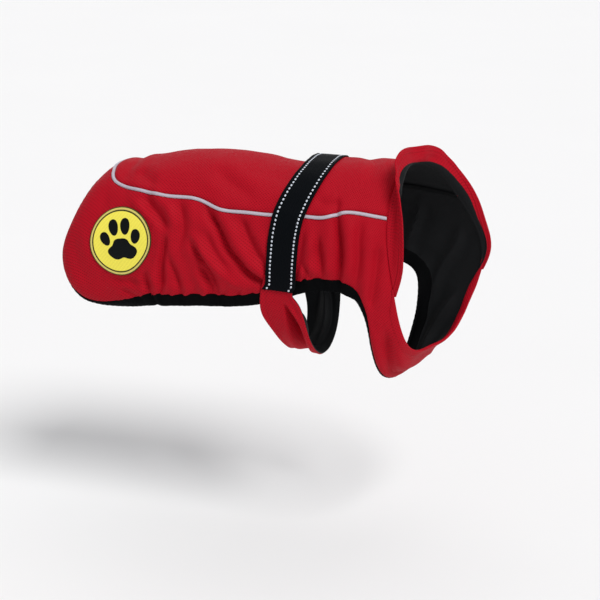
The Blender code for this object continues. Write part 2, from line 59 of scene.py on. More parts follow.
# ------------------------------------------------------------------ form tables
FORM_COLS = ("u", "x_top", "x_side", "x_low", "z_top", "z_side", "z_low",
             "half_w", "sq_up", "sq_low", "turn")
FORM = [
    (-240, -228, -248, -247, -50.5,  -99, -173, 30, 2.10, 2.3,  0),
    (-222, -216, -237, -237, -33.4,  -95, -182, 51, 2.10, 2.4,  0),
    (-190, -190, -203, -201, -15.3,  -89, -182, 60, 2.20, 2.5,  0),
    (-168, -168.5, -176.3, -174.4, -11.7,  -84.6, -179.5, 61.5, 2.27, 2.56, 0),
    (-150, -150, -155, -154,  -7.0,  -81, -178, 63, 2.30, 2.6,  0),
    (-125, -124.8, -127.2, -126.6, -2.4,  -76.7, -176.1, 63.9, 2.31, 2.62, 0),
    (-100, -100, -101, -100,  -0.6,  -73, -175, 64, 2.30, 2.6,  0),
    ( -50,  -50,  -50,  -48,  -0.6,  -67, -176, 64, 2.30, 2.5,  0),
    (   0,    0,    0,    2,   0.0,  -65, -180, 63, 2.30, 2.4,  0),
    (  45,   43,   45,   49,   0.5,  -73, -194, 62, 2.30, 2.3,  6),
    (  75, 67.5, 79.3,   75,   1.2,  -81, -198, 60, 2.25, 2.5, 20),
    ( 105, 86.5, 109.5, 105,   2.5,  -83, -167, 53, 2.20, 3.0, 30),
]
CUT_COLS = ("s", "up_u", "up_a", "hem_u", "hem_a", "turn")
CUT = [
    (0.00, -200.8,   0.0, -230,   0.0,  18),
    (0.04, -199.6,   9.0, -230.5, 22.0, 26),
    (0.08, -196.0,  17.0, -231.5, 44.0, 44),
    (0.12, -191.6,  24.4, -232.5, 66.0, 72),
    (0.16, -184.2,  31.3, -232.5, 88.0, 104),
    (0.20, -171.0,  37.5, -229, 109.0, 124),
    (0.24, -156.0,  42.5, -220, 125.5, 126),
    (0.28, -139.0,  47.3, -202, 136.5, 106),
    (0.34, -117.0,  50.5, -174, 139.0, 58),
    (0.40,  -96.0,  54.0, -144, 134.8, 20),
    (0.46,  -76.0,  61.5, -110, 134.5,  6),
    (0.52,  -54.0,  64.0,  -76, 135.0,  6),
    (0.58,  -27.0,  66.0,  -40, 133.8,  6),
    (0.63,    0.0,  65.0,  -10, 128.0,  6),
    (0.68,   24.0,  62.0,   10, 122.5,  6),
    (0.72,   42.0,  54.5,   28, 119.5,  6),
    (0.76,   70.0,  48.0,   44, 118.0,  6),
    (0.80,  105.0,  45.0,   58, 120.0,  20),
    (0.87,  105.0,  88.0,   65, 138.0,  80),
    (0.94,  105.0, 133.0,   64, 158.0, 100),
    (1.00,  105.0, 180.0,   63.5, 180.0, 100),
]
S_BEND = 0.12
S_NECK = 0.80
TURN_REACH = 20.0
COLLAR_COLS = ("a", "height", "lean")
COLLAR = [
    (-114.0,  1.5,   6.0),
    (-105.0,  6.0,  14.0),
    ( -95.0, 10.5,  28.0),
    ( -80.0, 16.0,  50.0),
    ( -60.0, 23.0,  78.0),
    ( -45.0, 31.0, 106.0),
    ( -36.0, 35.0, 118.0),
    ( -28.0, 35.5, 120.0),
    ( -20.0, 31.5, 113.0),
    ( -12.0, 24.5, 103.0),
    (   0.0, 17.0,  97.0),
    (  12.0, 18.6, 101.0),
    (  22.0, 22.0, 108.0),
    (  32.0, 22.0, 110.0),
    (  42.0, 20.2, 102.0),
    (  52.0, 16.0,  80.0),
    (  65.0, 10.5,  44.0),
    (  80.0,  8.5,  22.0),
    (  98.0,  6.0,  12.0),
    ( 114.0,  1.5,   6.0),
]
COLLAR_END = 114.0

# belt over the back: middle line, and the height of its underside above the form;
# it climbs over the piping, and over the belly band and the hem at its ends
BELT_COLS = ("a", "u")
BELT = [(0, 4.0), (20, 3.0), (40, -2.0), (52, -6.6), (65, -11.2), (80, -14.8), (100, -17.2), (112, -18.2),
        (119, -18.7), (127, -19.4)]
RIDE_COLS = ("a", "lift")
RIDE = [(0, 1.75), (20, 1.75), (40, 2.0), (54, 2.1), (60, 2.6), (65.5, 3.1), (71, 2.6), (77, 2.15),
        (90, 2.3), (101, 2.9), (109, 3.7), (116, 4.3), (127, 4.6)]
BELLY_COLS = ("a", "u", "width", "lift")
BELLY = [
    (114.0, -20.5, 28.0, 2.3),
    (121.0, -22.0, 28.5, 2.6),
    (127.0, -23.5, 30.5, 3.4),
    (135.0, -21.8, 37.5, 3.0),
    (143.0, -18.3, 37.0, 2.2),
    (150.0, -15.2, 33.5, 1.6),
    (160.0, -12.2, 30.5, 1.0),
    (180.0,  -9.5, 28.5, 0.5),
]

# ------------------------------------------------------------------ folds
# side, depth of the trough, its half width, the ridge on its neck side and on its tail
# side, how broad those are, how soon it fades in and out along its run, and its run.
# A negative depth is a rounded ridge. Side 0 gives signed angles.
R, L = -1, 1
FOLDS = [
    # near side, rear to front
    (R, 2.9, 4.6, 1.3, 0.9, 6.0, .30, .30, [(-154, 44), (-144, 55), (-136, 62), (-129, 70), (-126, 79)]),
    (R, 2.4, 2.6, 0.8, 0.5, 5.0, .22, .00, [(-127, 75), (-128, 88), (-130, 100), (-131, 112), (-133, 130)]),
    (R, 1.6, 4.0, 0.9, 0.7, 6.0, .26, .45, [(-118, 50), (-113, 64), (-111, 72), (-112, 82), (-116, 95)]),
    (R, 1.7, 2.2, 0.8, 0.3, 5.0, .40, .00, [(-125, 88), (-122, 102), (-118, 112), (-114, 130)]),
    (R, 2.6, 2.5, 1.2, 0.4, 5.5, .30, .00, [(-106, 78), (-100, 90), (-94, 100), (-88, 108), (-82, 118), (-77, 131)]),
    (R, 3.0, 2.5, 0.5, 0.9, 5.0, .35, .00, [(-97, 101), (-92, 112), (-86, 122), (-82, 132)]),
    (R, -1.7, 4.2, 0.0, 0.0, 5.0, .30, .25, [(-105, 75), (-96, 86), (-88, 97), (-80, 106), (-72, 113), (-62, 120), (-48, 127)]),
    (R, 1.1, 3.4, 0.4, 0.4, 5.0, .30, .30, [(-92, 73), (-84, 88), (-80, 95), (-72, 105), (-62, 112)]),
    (R, 3.7, 3.1, 1.7, 0.9, 7.0, .18, .00, [(-95, 55), (-83, 68), (-76, 78), (-71, 88), (-65, 97), (-58, 104), (-52, 111), (-44, 116), (-34, 121), (-22, 126)]),
    (R, 2.0, 3.6, 0.9, 0.9, 7.0, .25, .05, [(-60, 64), (-54, 74), (-50, 82), (-46, 89), (-42, 96), (-35, 104), (-26, 111)]),
    (R, 2.7, 2.4, 1.0, 0.7, 4.5, .40, .00, [(-148, 108), (-145, 119), (-142, 126), (-138, 134)]),
    (R, 1.1, 2.4, 0.6, 0.4, 4.5, .35, .20, [(-150, 103), (-143, 115), (-136, 126)]),
    (R, 1.1, 3.6, 0.5, 0.5, 5.0, .35, .30, [(-180, 112), (-168, 115), (-158, 117), (-146, 122)]),
    (R, 1.3, 2.6, 0.5, 0.5, 5.0, .35, .25, [(-172, 121), (-158, 126), (-147, 131)]),
    (R, 1.2, 3.2, 0.9, 0.0, 5.0, .30, .00, [(5, 68), (1, 84), (-1, 96), (-3, 108), (-3, 120)]),
    (R, 1.5, 2.0, 0.8, 0.8, 4.0, .35, .00, [(0, 100), (6, 108), (11, 114), (15, 121)]),
    (R, 1.9, 2.5, 1.0, 0.9, 5.0, .30, .00, [(18, 72), (18, 84), (20, 96), (22, 110), (23, 120)]),
    (R, 3.6, 2.7, 1.6, 1.1, 7.0, .45, .00, [(30, 40), (34, 50), (37, 61), (41, 72), (43, 83), (42, 94), (40, 106), (38, 118)]),
    (R, 2.0, 3.4, 0.9, 0.9, 7.0, .25, .00, [(70, 48), (66, 64), (66, 82), (62, 100), (56, 120)]),
    (R, 1.5, 3.4, 0.7, 0.7, 6.0, .20, .20, [(96, 62), (90, 82), (84, 104), (76, 124)]),
    (R, -0.9, 5.5, 0.0, 0.0, 5.0, .35, .30, [(-170, 40), (-159, 50), (-150, 60), (-143, 72)]),
    (R, 0.8, 7.0, 0.0, 0.0, 6.0, .40, .30, [(-193, 33), (-188, 46), (-184, 60), (-184, 76)]),
    (R, 0.55, 6.0, 0.3, 0.3, 7.0, .30, .30, [(-214, 62), (-207, 84), (-200, 104), (-190, 122)]),
    # saddle
    (R, 1.0, 5.0, 0.3, 0.4, 6.0, .35, .30, [(-168, 20), (-160, 28), (-152, 34), (-140, 41)]),
    (R, 1.35, 6.0, 0.5, 0.7, 8.0, .30, .30, [(-94, 25), (-86, 31), (-77, 37), (-61, 46), (-40, 55)]),
    (R, 0.9, 3.6, 0.3, 0.6, 5.0, .30, .20, [(10, 52), (20, 52), (30, 51), (40, 46)]),
    (0, 1.25, 5.2, 0.2, 0.5, 6.5, .30, .30, [(-177, -38), (-178, -16), (-180, 8), (-184, 36)]),
    (0, -0.6, 6.0, 0.0, 0.0, 6.0, .30, .30, [(-36, 8), (-26, -6), (-16, -22)]),
    (0, 0.9, 5.0, 0.5, 0.3, 7.0, .30, .30, [(28, 30), (44, 10), (60, -12), (74, -34)]),
    (0, 1.1, 4.6, 0.5, 0.5, 7.0, .30, .30, [(62, 34), (80, 12), (96, -10)]),
    (L, 1.0, 5.5, 0.4, 0.4, 7.0, .30, .30, [(-150, 18), (-138, 28), (-122, 36), (-104, 44)]),
    (L, 1.1, 5.5, 0.4, 0.6, 7.0, .30, .30, [(-70, 26), (-58, 36), (-46, 46), (-30, 56)]),
    # far side
    (L, 2.6, 4.4, 1.2, 0.8, 6.0, .28, .20, [(-160, 42), (-150, 60), (-144, 76), (-141, 92)]),
    (L, 2.3, 2.7, 0.9, 0.5, 5.0, .25, .00, [(-143, 88), (-141, 102), (-141, 116), (-144, 134)]),
    (L, 1.7, 3.8, 0.8, 0.8, 6.0, .26, .40, [(-124, 49), (-120, 66), (-116, 80), (-116, 96)]),
    (L, 2.8, 2.7, 1.2, 0.5, 5.5, .30, .00, [(-120, 84), (-112, 98), (-104, 110), (-98, 132)]),
    (L, -1.3, 4.0, 0.0, 0.0, 5.0, .30, .25, [(-112, 78), (-102, 90), (-92, 103), (-84, 114), (-74, 126)]),
    (L, 3.5, 3.2, 1.6, 0.9, 7.0, .18, .00, [(-101, 53), (-90, 70), (-80, 84), (-70, 97), (-58, 108), (-46, 117), (-28, 126)]),
    (L, 1.9, 3.4, 0.9, 0.7, 6.0, .28, .00, [(-70, 92), (-66, 104), (-60, 116), (-56, 132)]),
    (L, 1.9, 3.8, 0.9, 0.9, 7.0, .22, .08, [(-62, 66), (-52, 78), (-44, 90), (-32, 104)]),
    (L, 1.1, 3.6, 0.5, 0.5, 5.0, .35, .25, [(-196, 110), (-180, 116), (-166, 124)]),
    (L, 1.6, 4.6, 0.8, 0.6, 7.0, .20, .25, [(-192, 44), (-186, 62), (-176, 80), (-170, 98)]),
    (L, 1.3, 5.0, 0.7, 0.7, 7.0, .20, .20, [(-216, 66), (-208, 88), (-200, 106), (-190, 124)]),
    (L, 1.8, 2.5, 0.9, 0.9, 5.0, .30, .00, [(10, 78), (12, 94), (14, 108), (14, 122)]),
    (L, 3.1, 2.8, 1.4, 1.0, 7.0, .40, .00, [(30, 44), (36, 60), (38, 76), (36, 94), (34, 118)]),
    (L, 2.0, 3.2, 0.9, 0.9, 6.0, .25, .00, [(66, 52), (62, 72), (56, 94), (52, 118)]),
    (L, 1.6, 3.4, 0.7, 0.7, 6.0, .20, .20, [(92, 70), (84, 94), (76, 116), (72, 138)]),
    # chest flap
    (R, 2.4, 4.2, 0.9, 0.9, 6.0, .25, .00, [(92, 132), (88, 146), (84, 160), (84, 176), (86, 190)]),
    (L, 1.8, 4.0, 0.8, 0.8, 6.0, .25, .15, [(94, 128), (88, 142), (82, 156), (80, 168)]),
]


def columns(rows, names):
    data = np.array(rows, float)
    return {name: data[:, k] for k, name in enumerate(names)}


def spline(xs, ys, x):
    """smooth curve through the rows of a table (natural cubic)"""
    xs, ys = np.asarray(xs, float), np.asarray(ys, float)
    n = len(xs)
    h = np.diff(xs)
    lhs, rhs = np.eye(n), np.zeros(n)
    for i in range(1, n - 1):
        lhs[i, i - 1:i + 2] = h[i - 1], 2 * (h[i - 1] + h[i]), h[i]
        rhs[i] = 6 * ((ys[i + 1] - ys[i]) / h[i] - (ys[i] - ys[i - 1]) / h[i - 1])
    m = np.linalg.solve(lhs, rhs)
    x = np.asarray(x, float)
    i = np.clip(np.searchsorted(xs, x) - 1, 0, n - 2)
    p, q, w = xs[i + 1] - x, x - xs[i], h[i]
    return ((m[i] * p**3 + m[i + 1] * q**3) / (6 * w)
            + (ys[i] / w - m[i] * w / 6) * p + (ys[i + 1] / w - m[i + 1] * w / 6) * q)


def ease(x):
    x = np.clip(x, 0, 1)
    return x * x * (3 - 2 * x)


def bell(x, w):
    return np.exp(-(np.asarray(x) / w)**2)


def unit(v):
    return v / np.maximum(np.linalg.norm(v, axis=-1, keepdims=True), 1e-12)


FORM_T = columns(FORM, FORM_COLS)
CUT_T = columns(CUT, CUT_COLS)
BELT_T = columns(BELT, BELT_COLS)
RIDE_T = columns(RIDE, RIDE_COLS)
BELLY_TAB = columns(BELLY, BELLY_COLS)
COLLAR_TAB = columns(COLLAR, COLLAR_COLS)


def form(u, a):
    """the smooth hollow under the coat"""
    u, a = np.broadcast_arrays(np.asarray(u, float), np.asarray(a, float))
    c = {name: spline(FORM_T["u"], FORM_T[name], u) for name in FORM_COLS[1:]}
    s, k = np.sin(np.radians(a)), np.cos(np.radians(a))
    high = k >= 0
    b = np.where(high, c["z_top"] - c["z_side"], c["z_side"] - c["z_low"])
    n = np.where(high, c["sq_up"], c["sq_low"])
    r = (np.abs(s / c["half_w"])**n + np.abs(k / b)**n)**(-1 / n)
    mean = (c["x_top"] + c["x_low"]) / 2
    x = c["x_side"] + (c["x_top"] - c["x_low"]) / 2 * k + (mean - c["x_side"]) * k * k + c["turn"] * s
    return np.stack([x, r * s, c["z_side"] + r * k], -1)


def local(u, a):
    """point, outward direction and the two runs of the form at a place"""
    e = 0.25
    du = (form(u + e, a) - form(u - e, a)) / (2 * e)
    da = (form(u, a + e) - form(u, a - e)) / (2 * e)
    return form(u, a), unit(np.cross(du, da)), du, da


def moved(u, a, run, dist):
    """places moved sideways by a distance over the form; plus is to the left of the run"""
    p, n, du, da = local(u, a)
    way = np.cross(n, unit(run)) * np.broadcast_to(dist, u.shape)[..., None]
    g11, g12, g22 = (du * du).sum(-1), (du * da).sum(-1), (da * da).sum(-1)
    b1, b2 = (du * way).sum(-1), (da * way).sum(-1)
    det = g11 * g22 - g12 * g12
    return u + (g22 * b1 - g12 * b2) / det, a + (g11 * b2 - g12 * b1) / det


def beside(u, a, dist):
    return moved(u, a, np.gradient(form(u, a), axis=0), dist)


def upper_edge(s, inset):
    """saddle seam, then neckline, of one side (a positive); plus inset moves it down"""
    low = CUT_T["s"] <= S_NECK + 1e-6
    high = CUT_T["s"] >= S_NECK - 1e-6
    seam = s <= S_NECK + 1e-6
    u, a = np.empty_like(s), np.empty_like(s)
    su = spline(CUT_T["s"][low], CUT_T["up_u"][low], s[seam])
    sa = spline(CUT_T["s"][low], CUT_T["up_a"][low], s[seam])
    u[seam], a[seam] = beside(su, sa, inset)
    u[~seam], a[~seam] = 105.0, spline(CUT_T["s"][high], CUT_T["up_a"][high], s[~seam])
    a[0] = max(a[0], 0.0)
    return u, a


def hem_edge(s, inset):
    """hem line of one side; plus inset moves it up into the cloth"""
    u = spline(CUT_T["s"], CUT_T["hem_u"], s)
    a = spline(CUT_T["s"], CUT_T["hem_a"], s)
    return beside(u, a, -inset)


def neck_cut(a):
    """how much of the neckline the binding takes at an angle (a positive)"""
    return 1.4 + (NECK_W - 1.4) * ease((a - (COLLAR_END - 5.0)) / 20.0)


def back_u(a_signed, u, dist):
    """u moved back from the neckline by a distance over the cloth"""
    _, _, du, _ = local(u, a_signed)
    return u - dist / np.linalg.norm(du, axis=-1)


def under(s, dist):
    """how the hem turns under, dist from the hem line: its shift along the cloth, its
    shift inward and the angle it has turned through"""
    s, dist = np.broadcast_arrays(np.asarray(s, float), np.asarray(dist, float))
    turn = np.radians(spline(CUT_T["s"], CUT_T["turn"], s))
    d = np.maximum(TURN_REACH - dist, 0.0)
    t = np.minimum(d / TURN_REACH, 1.0)
    part = (np.arange(16) + 0.5) / 16
    phi = turn[..., None] * (t[..., None] * part) ** 1.5
    past = np.maximum(d - TURN_REACH, 0.0)
    along = TURN_REACH * t * np.cos(phi).mean(-1) + past * np.cos(turn) - d
    inward = TURN_REACH * t * np.sin(phi).mean(-1) + past * np.sin(turn)
    return along, inward, turn * t ** 1.5


def hem_down(s, side):
    """direction over the form from the cloth down to the hem, one for each column"""
    (u0, a0), (u1, a1) = hem_edge(s, 16.0), hem_edge(s, 4.0)
    for a in (a0, a1):
        a[0], a[-1] = 0.0, 180.0
    way = form(u1, side * a1) - form(u0, side * a0)
    return way / np.linalg.norm(way, axis=-1, keepdims=True)


def bent(u, a, s, dist, down, height):
    """a place of the cloth near the hem, where it turns under"""
    p, n, _, _ = local(u, a)
    t = down - (down * n).sum(-1, keepdims=True) * n
    t = t / np.linalg.norm(t, axis=-1, keepdims=True)
    along, inward, phi = (v[..., None] for v in under(s, dist))
    face = n * np.cos(phi) + t * np.sin(phi)
    return p + t * along - n * inward + face * np.asarray(height)[..., None]


# arc length round the form, so that the weave keeps one size all over the coat
ARC_U = np.linspace(-242, 107, 60)
ARC_A = np.linspace(-270, 270, 541)
ARC = np.linalg.norm(local(ARC_U[:, None], ARC_A[None, :])[3], axis=-1)
ARC = np.cumsum(ARC, axis=1)
ARC -= ARC[:, 270:271]


def flat_xy(u, a):
    """millimetres along the back and round the body"""
    fu = np.clip((u - ARC_U[0]) / (ARC_U[1] - ARC_U[0]), 0, len(ARC_U) - 1.001)
    fa = np.clip(a - ARC_A[0], 0, len(ARC_A) - 1.001)
    i, j = fu.astype(int), fa.astype(int)
    p, q = fu - i, fa - j
    arc = ((1 - p) * (1 - q) * ARC[i, j] + p * (1 - q) * ARC[i + 1, j]
           + (1 - p) * q * ARC[i, j + 1] + p * q * ARC[i + 1, j + 1])
    return np.stack([np.broadcast_to(u, arc.shape), arc], -1)


def nearest(points, path, normals=None):
    """distance of each point to a line of points; signed when normals are given (plus to
    the left of the run), and the share of the run where it is nearest"""
    a, d = path[:-1], np.diff(path, axis=0)
    size = np.maximum((d * d).sum(-1), 1e-9)
    lens = np.concatenate([[0], np.cumsum(np.sqrt(size))])
    out_d, out_t = np.empty(len(points)), np.empty(len(points))
    for k in range(0, len(points), 4000):
        p = points[k:k + 4000]
        w = p[:, None] - a[None]
        t = np.clip((w * d).sum(-1) / size, 0, 1)
        r = w - t[..., None] * d
        far = (r * r).sum(-1)
        i = np.argmin(far, 1)
        j = np.arange(len(p))
        dist = np.sqrt(far[j, i])
        if normals is not None:
            side = (np.cross(d[i], r[j, i]) * normals[k:k + 4000]).sum(-1)
            dist = np.where(side < 0, -dist, dist)
        out_d[k:k + 4000] = dist
        out_t[k:k + 4000] = (lens[i] + t[j, i] * (lens[i + 1] - lens[i])) / lens[-1]
    return out_d, out_t


def curve_of(places, step=2.5):
    """smooth line on the form through a few places"""
    pts = np.array(places, float)
    hop = np.hypot(np.diff(pts[:, 0]), np.diff(pts[:, 1]) * 1.4)
    t = np.concatenate([[0], np.cumsum(hop)])
    fine = np.linspace(0, t[-1], max(6, int(t[-1] / step)))
    return form(spline(t, pts[:, 0], fine), spline(t, pts[:, 1], fine))


def fold_profile(x, depth, half, plus, minus, broad):
    off = 1.1 * half + 0.85 * broad
    f = -depth * np.exp(-np.abs(x / half)**1.7)
    return f + plus * bell(x - off, broad) + minus * bell(x + off, broad)


GAIN = {R: 1.9, L: 1.9, 0: 1.5}                        # the depths above, as worn
FOLD_RUNS = []
for side, depth, half, plus, minus, broad, t_in, t_out, places in FOLDS:
    sign = side if side else 1
    gain = GAIN[side]
    FOLD_RUNS.append((side, depth * gain, half * 1.12, plus * gain, minus * gain, broad, t_in, t_out,
                      curve_of([(u, a * sign) for u, a in places])))


def ripple(points, size, seed):
    """smooth uneven swell, about -1 to 1, size in millimetres across"""
    k = 1.0 / size
    off = Vector((seed * 7.31, seed * 3.77, seed * 5.13))
    return np.array([noise.noise(Vector(p) * k + off) for p in points.tolist()]) * 1.8


def dip(u, a):
    """the saddle hangs a little behind the belt, which spans it"""
    a = (np.asarray(a, float) + 180.0) % 360.0 - 180.0
    rise = np.clip((np.asarray(u, float) + 92.0) / 78.0, 0, 1)
    fall = np.clip((3.5 - np.asarray(u, float)) / 9.0, 0, 1)
    wide = np.clip((56.0 - np.abs(a)) / 30.0, 0, 1)
    soft = [x * x * (3 - 2 * x) for x in (rise, fall, wide)]
    return -6.8 * soft[0] ** 1.3 * soft[1] * soft[2]


def relief(u, a):
    """height of folds and swells above the form"""
    shape = np.broadcast(u, a).shape
    u, a = np.broadcast_to(u, shape).ravel(), np.broadcast_to(a, shape).ravel()
    p, n, _, _ = local(u, a)
    total = np.zeros(len(p))
    for side, depth, half, plus, minus, broad, t_in, t_out, run in FOLD_RUNS:
        reach = 1.1 * half + 3.2 * broad
        lo, hi = run.min(0) - reach, run.max(0) + reach
        near = np.flatnonzero(((p > lo) & (p < hi)).all(-1))
        if not len(near):
            continue
        x, t = nearest(p[near], run, n[near])
        if side == L:                                  # plus is always toward the neck
            x = -x
        fade = np.ones(len(near))
        if t_in > 0:
            fade = fade * ease(t / t_in)
        if t_out > 0:
            fade = fade * ease((1 - t) / t_out)
        total[near] += fade * fold_profile(x, depth, half, plus, minus, broad)
    low = np.abs((a + 180) % 360 - 180)
    calm = 0.55 + 0.45 * ease((low - 45) / 30)
    total += calm * (0.75 * ripple(p, 46, 1) + 0.50 * ripple(p, 21, 2) + 0.16 * ripple(p, 9, 3))
    # the patch keeps the cloth flat, with small puckers round its stitched edge
    e1, e2, _ = badge_frame()
    c = form(np.array(BADGE_AT[0]), np.array(BADGE_AT[1]))
    q = p - c
    bx, by = q @ e1 / BADGE_R[0], q @ e2 / BADGE_R[1]
    rr = np.hypot(bx, by)
    here = (p[:, 1] < 0) & (rr < 2)
    ease_out = np.where(here, ease((rr - 1.03) / 0.22), 1.0)
    total *= ease_out
    th = np.arctan2(by, bx)
    total += np.where(here, 0.22 * bell(rr - 1.08, 0.06) * np.sin(th * 26 + 2.0 * np.sin(th * 3)), 0.0)
    # the belt presses the cloth flat
    aa = (a + 180) % 360 - 180
    inside = np.abs(aa) < 128
    mid = spline(BELT_T["a"], BELT_T["u"], np.minimum(np.abs(aa), 127))
    away = np.abs(u - mid)
    press = np.where(inside, 1 - ease((away - 12.5) / 7.0), 0.0)
    total = total * (1 - 0.8 * press) - 0.15 * press
    total = np.where(press > 0.5, np.minimum(total, 0.1), total)
    return (total + dip(u, a)).reshape(shape)


def badge_frame():
    p, n, du, da = local(np.array(BADGE_AT[0]), np.array(BADGE_AT[1]))
    e1 = unit(du)
    return e1, np.cross(n, e1), (n, du, da)


def place(u, a, height):
    p, n, _, _ = local(u, a)
    return p + n * np.asarray(height)[..., None]


# ------------------------------------------------------------------ mesh helpers
def make(name, points, faces, mats, face_mat=None, uv=None, smooth=True, sharp=0.9):
    pts = np.asarray(points, float)
    faces = [tuple(int(i) for i in f) for f in faces]
    vol = 0.0
    quad = np.array([(f[0], f[1], f[2]) for f in faces] + [(f[0], f[2], f[3]) for f in faces if len(f) == 4])
    c = pts.mean(0)
    vol = np.einsum("ij,ij->i", pts[quad[:, 0]] - c, np.cross(pts[quad[:, 1]] - c, pts[quad[:, 2]] - c)).sum()
    if vol < 0:
        faces = [f[::-1] for f in faces]
    me = bpy.data.meshes.new(name)
    me.from_pydata((pts * MM).tolist(), [], faces)
    if face_mat is not None:
        me.polygons.foreach_set("material_index", np.asarray(face_mat, dtype=np.int32))
    if uv is not None:
        layer = me.uv_layers.new(name="cloth_mm")
        idx = np.empty(len(me.loops), dtype=np.int32)
        me.loops.foreach_get("vertex_index", idx)
        layer.data.foreach_set("uv", (np.asarray(uv, float)[idx] * 0.01).ravel())
    me.update()
    if smooth:
        me.shade_smooth()
        me.set_sharp_from_angle(angle=sharp)
    for m in mats:
        me.materials.append(m)
    ob = bpy.data.objects.new(name, me)
    bpy.context.scene.collection.objects.link(ob)
    return ob


def skin(name, low, high, uv, mats):
    """thin cloth between two equal lattices: outer face first material, inner face second"""
    n, m = low.shape[:2]
    k = n * m
    grid = np.arange(k).reshape(n, m)
    a, b, c, d = grid[:-1, :-1], grid[1:, :-1], grid[1:, 1:], grid[:-1, 1:]
    top = np.stack([a, b, c, d], -1).reshape(-1, 4) + k
    under = np.stack([a, d, c, b], -1).reshape(-1, 4)
    rim = []
    for line, flip in ((grid[:, 0], 0), (grid[:, -1], 1), (grid[0, :], 1), (grid[-1, :], 0)):
        i, j = line[:-1], line[1:]
        q = np.stack([i, j, j + k, i + k], -1)
        rim.append(q[:, ::-1] if flip else q)
    rim = np.concatenate(rim)
    faces = np.concatenate([top, under, rim])
    mat = np.concatenate([np.zeros(len(top), int), np.ones(len(under), int), np.ones(len(rim), int)])
    pts = np.concatenate([low.reshape(-1, 3), high.reshape(-1, 3)])
    uvs = np.concatenate([uv.reshape(-1, 2), uv.reshape(-1, 2)])
    return make(name, pts, faces, mats, mat, uvs)


def loop_body(name, rings, mats, around_mat=None, along=None, end_mat=0):
    """closed run of equal thin rings, its ends closed across the ring"""
    n, m = rings.shape[:2]
    grid = np.arange(n * m).reshape(n, m)
    nxt = np.roll(grid, -1, axis=1)
    side = np.stack([grid[:-1], nxt[:-1], nxt[1:], grid[1:]], -1)
    mat = np.zeros((n - 1, m), int)
    if around_mat is not None:
        mat[:] = np.asarray(around_mat)[None]
    faces = side.reshape(-1, 4).tolist()
    mat = mat.ravel().tolist()
    for row, flip in ((grid[0], True), (grid[-1], False)):
        i, j = 0, m - 1
        while j - i > 1:
            f = (row[i], row[i + 1], row[j - 1], row[j]) if j - 1 > i + 1 else (row[i], row[i + 1], row[j])
            faces.append(f[::-1] if flip else f)
            mat.append(end_mat)
            i, j = i + 1, j - 1
    step = np.linalg.norm(np.diff(rings.mean(1), axis=0), axis=-1)
    run = np.concatenate([[0], np.cumsum(step)]) if along is None else along
    girth = np.linalg.norm(np.diff(rings[n // 2], axis=0), axis=-1)
    girth = np.concatenate([[0], np.cumsum(girth)])
    uv = np.stack(np.broadcast_arrays(run[:, None], girth[None, :]), -1)
    return make(name, rings.reshape(-1, 3), faces, mats, mat, uv.reshape(-1, 2))


def threads(name, spots, runs, normals, length, width, height, mat):
    """short raised stitches: a rounded bead at each spot"""
    ring = 8
    prof = [(-1.0, 0.45, 0.15), (-0.72, 0.86, 0.62), (0.0, 1.0, 1.0), (0.72, 0.86, 0.62), (1.0, 0.45, 0.15)]
    pts, faces = [], []
    for p, r, n in zip(spots, unit(runs), unit(normals)):
        s = np.cross(n, r)
        base = len(pts)
        for t, w, h in prof:
            for k in range(ring):
                th = math.pi * k / (ring - 1)
                pts.append(p + r * (t * length / 2) + s * (math.cos(th) * w * width / 2)
                           + n * (math.sin(th) * h * height - 0.25))
        for i in range(len(prof) - 1):
            for k in range(ring - 1):
                a = base + i * ring + k
                faces.append((a, a + 1, a + ring + 1, a + ring))
        faces.append(tuple(base + k for k in reversed(range(ring))))
        faces.append(tuple(base + (len(prof) - 1) * ring + k for k in range(ring)))
    pts = np.array(pts)
    me = bpy.data.meshes.new(name)
    me.from_pydata((pts * MM).tolist(), [], faces)
    me.update()
    me.shade_smooth()
    me.materials.append(mat)
    ob = bpy.data.objects.new(name, me)
    bpy.context.scene.collection.objects.link(ob)
    return ob


# ------------------------------------------------------------------ materials
def start(name, colour, rough, **sockets):
    mat = bpy.data.materials.new(name)
    mat.use_nodes = True
    nt = mat.node_tree
    bsdf = nt.nodes["Principled BSDF"]
    bsdf.inputs["Base Color"].default_value = (*colour, 1)
    bsdf.inputs["Roughness"].default_value = rough
    for key, value in sockets.items():
        bsdf.inputs[key.replace("_", " ")].default_value = value
    return mat, nt, bsdf


def node(nt, kind, **values):
    nd = nt.nodes.new(kind)
    for key, value in values.items():
        if hasattr(nd, key):
            setattr(nd, key, value)
        else:
            nd.inputs[key].default_value = value
    return nd


def maths(nt, op, a, b=None, c=None, clamp=False):
    nd = nt.nodes.new("ShaderNodeMath")
    nd.operation, nd.use_clamp = op, clamp
    for k, v in enumerate((a, b, c)):
        if v is None:
            continue
        if isinstance(v, (int, float)):
            nd.inputs[k].default_value = v
        else:
            nt.links.new(v, nd.inputs[k])
    return nd.outputs[0]


def cloth_axes(nt):
    """millimetres along and across the cloth"""
    uv = nt.nodes.new("ShaderNodeUVMap")
    uv.uv_map = "cloth_mm"
    sep = nt.nodes.new("ShaderNodeSeparateXYZ")
    nt.links.new(uv.outputs[0], sep.inputs[0])
    return maths(nt, "MULTIPLY", sep.outputs[0], 100.0), maths(nt, "MULTIPLY", sep.outputs[1], 100.0)


def wave(nt, x, pitch, shift=0.0):
    return maths(nt, "COSINE", maths(nt, "MULTIPLY_ADD", x, 2 * math.pi / pitch, shift))


def swell(nt, scale, detail=3.0, rough=0.55):
    """noise in the object's own space, per metre"""
    tc = nt.nodes.new("ShaderNodeTexCoord")
    nz = node(nt, "ShaderNodeTexNoise", Scale=scale, Detail=detail, Roughness=rough)
    nt.links.new(tc.outputs["Object"], nz.inputs["Vector"])
    return nz.outputs[0]


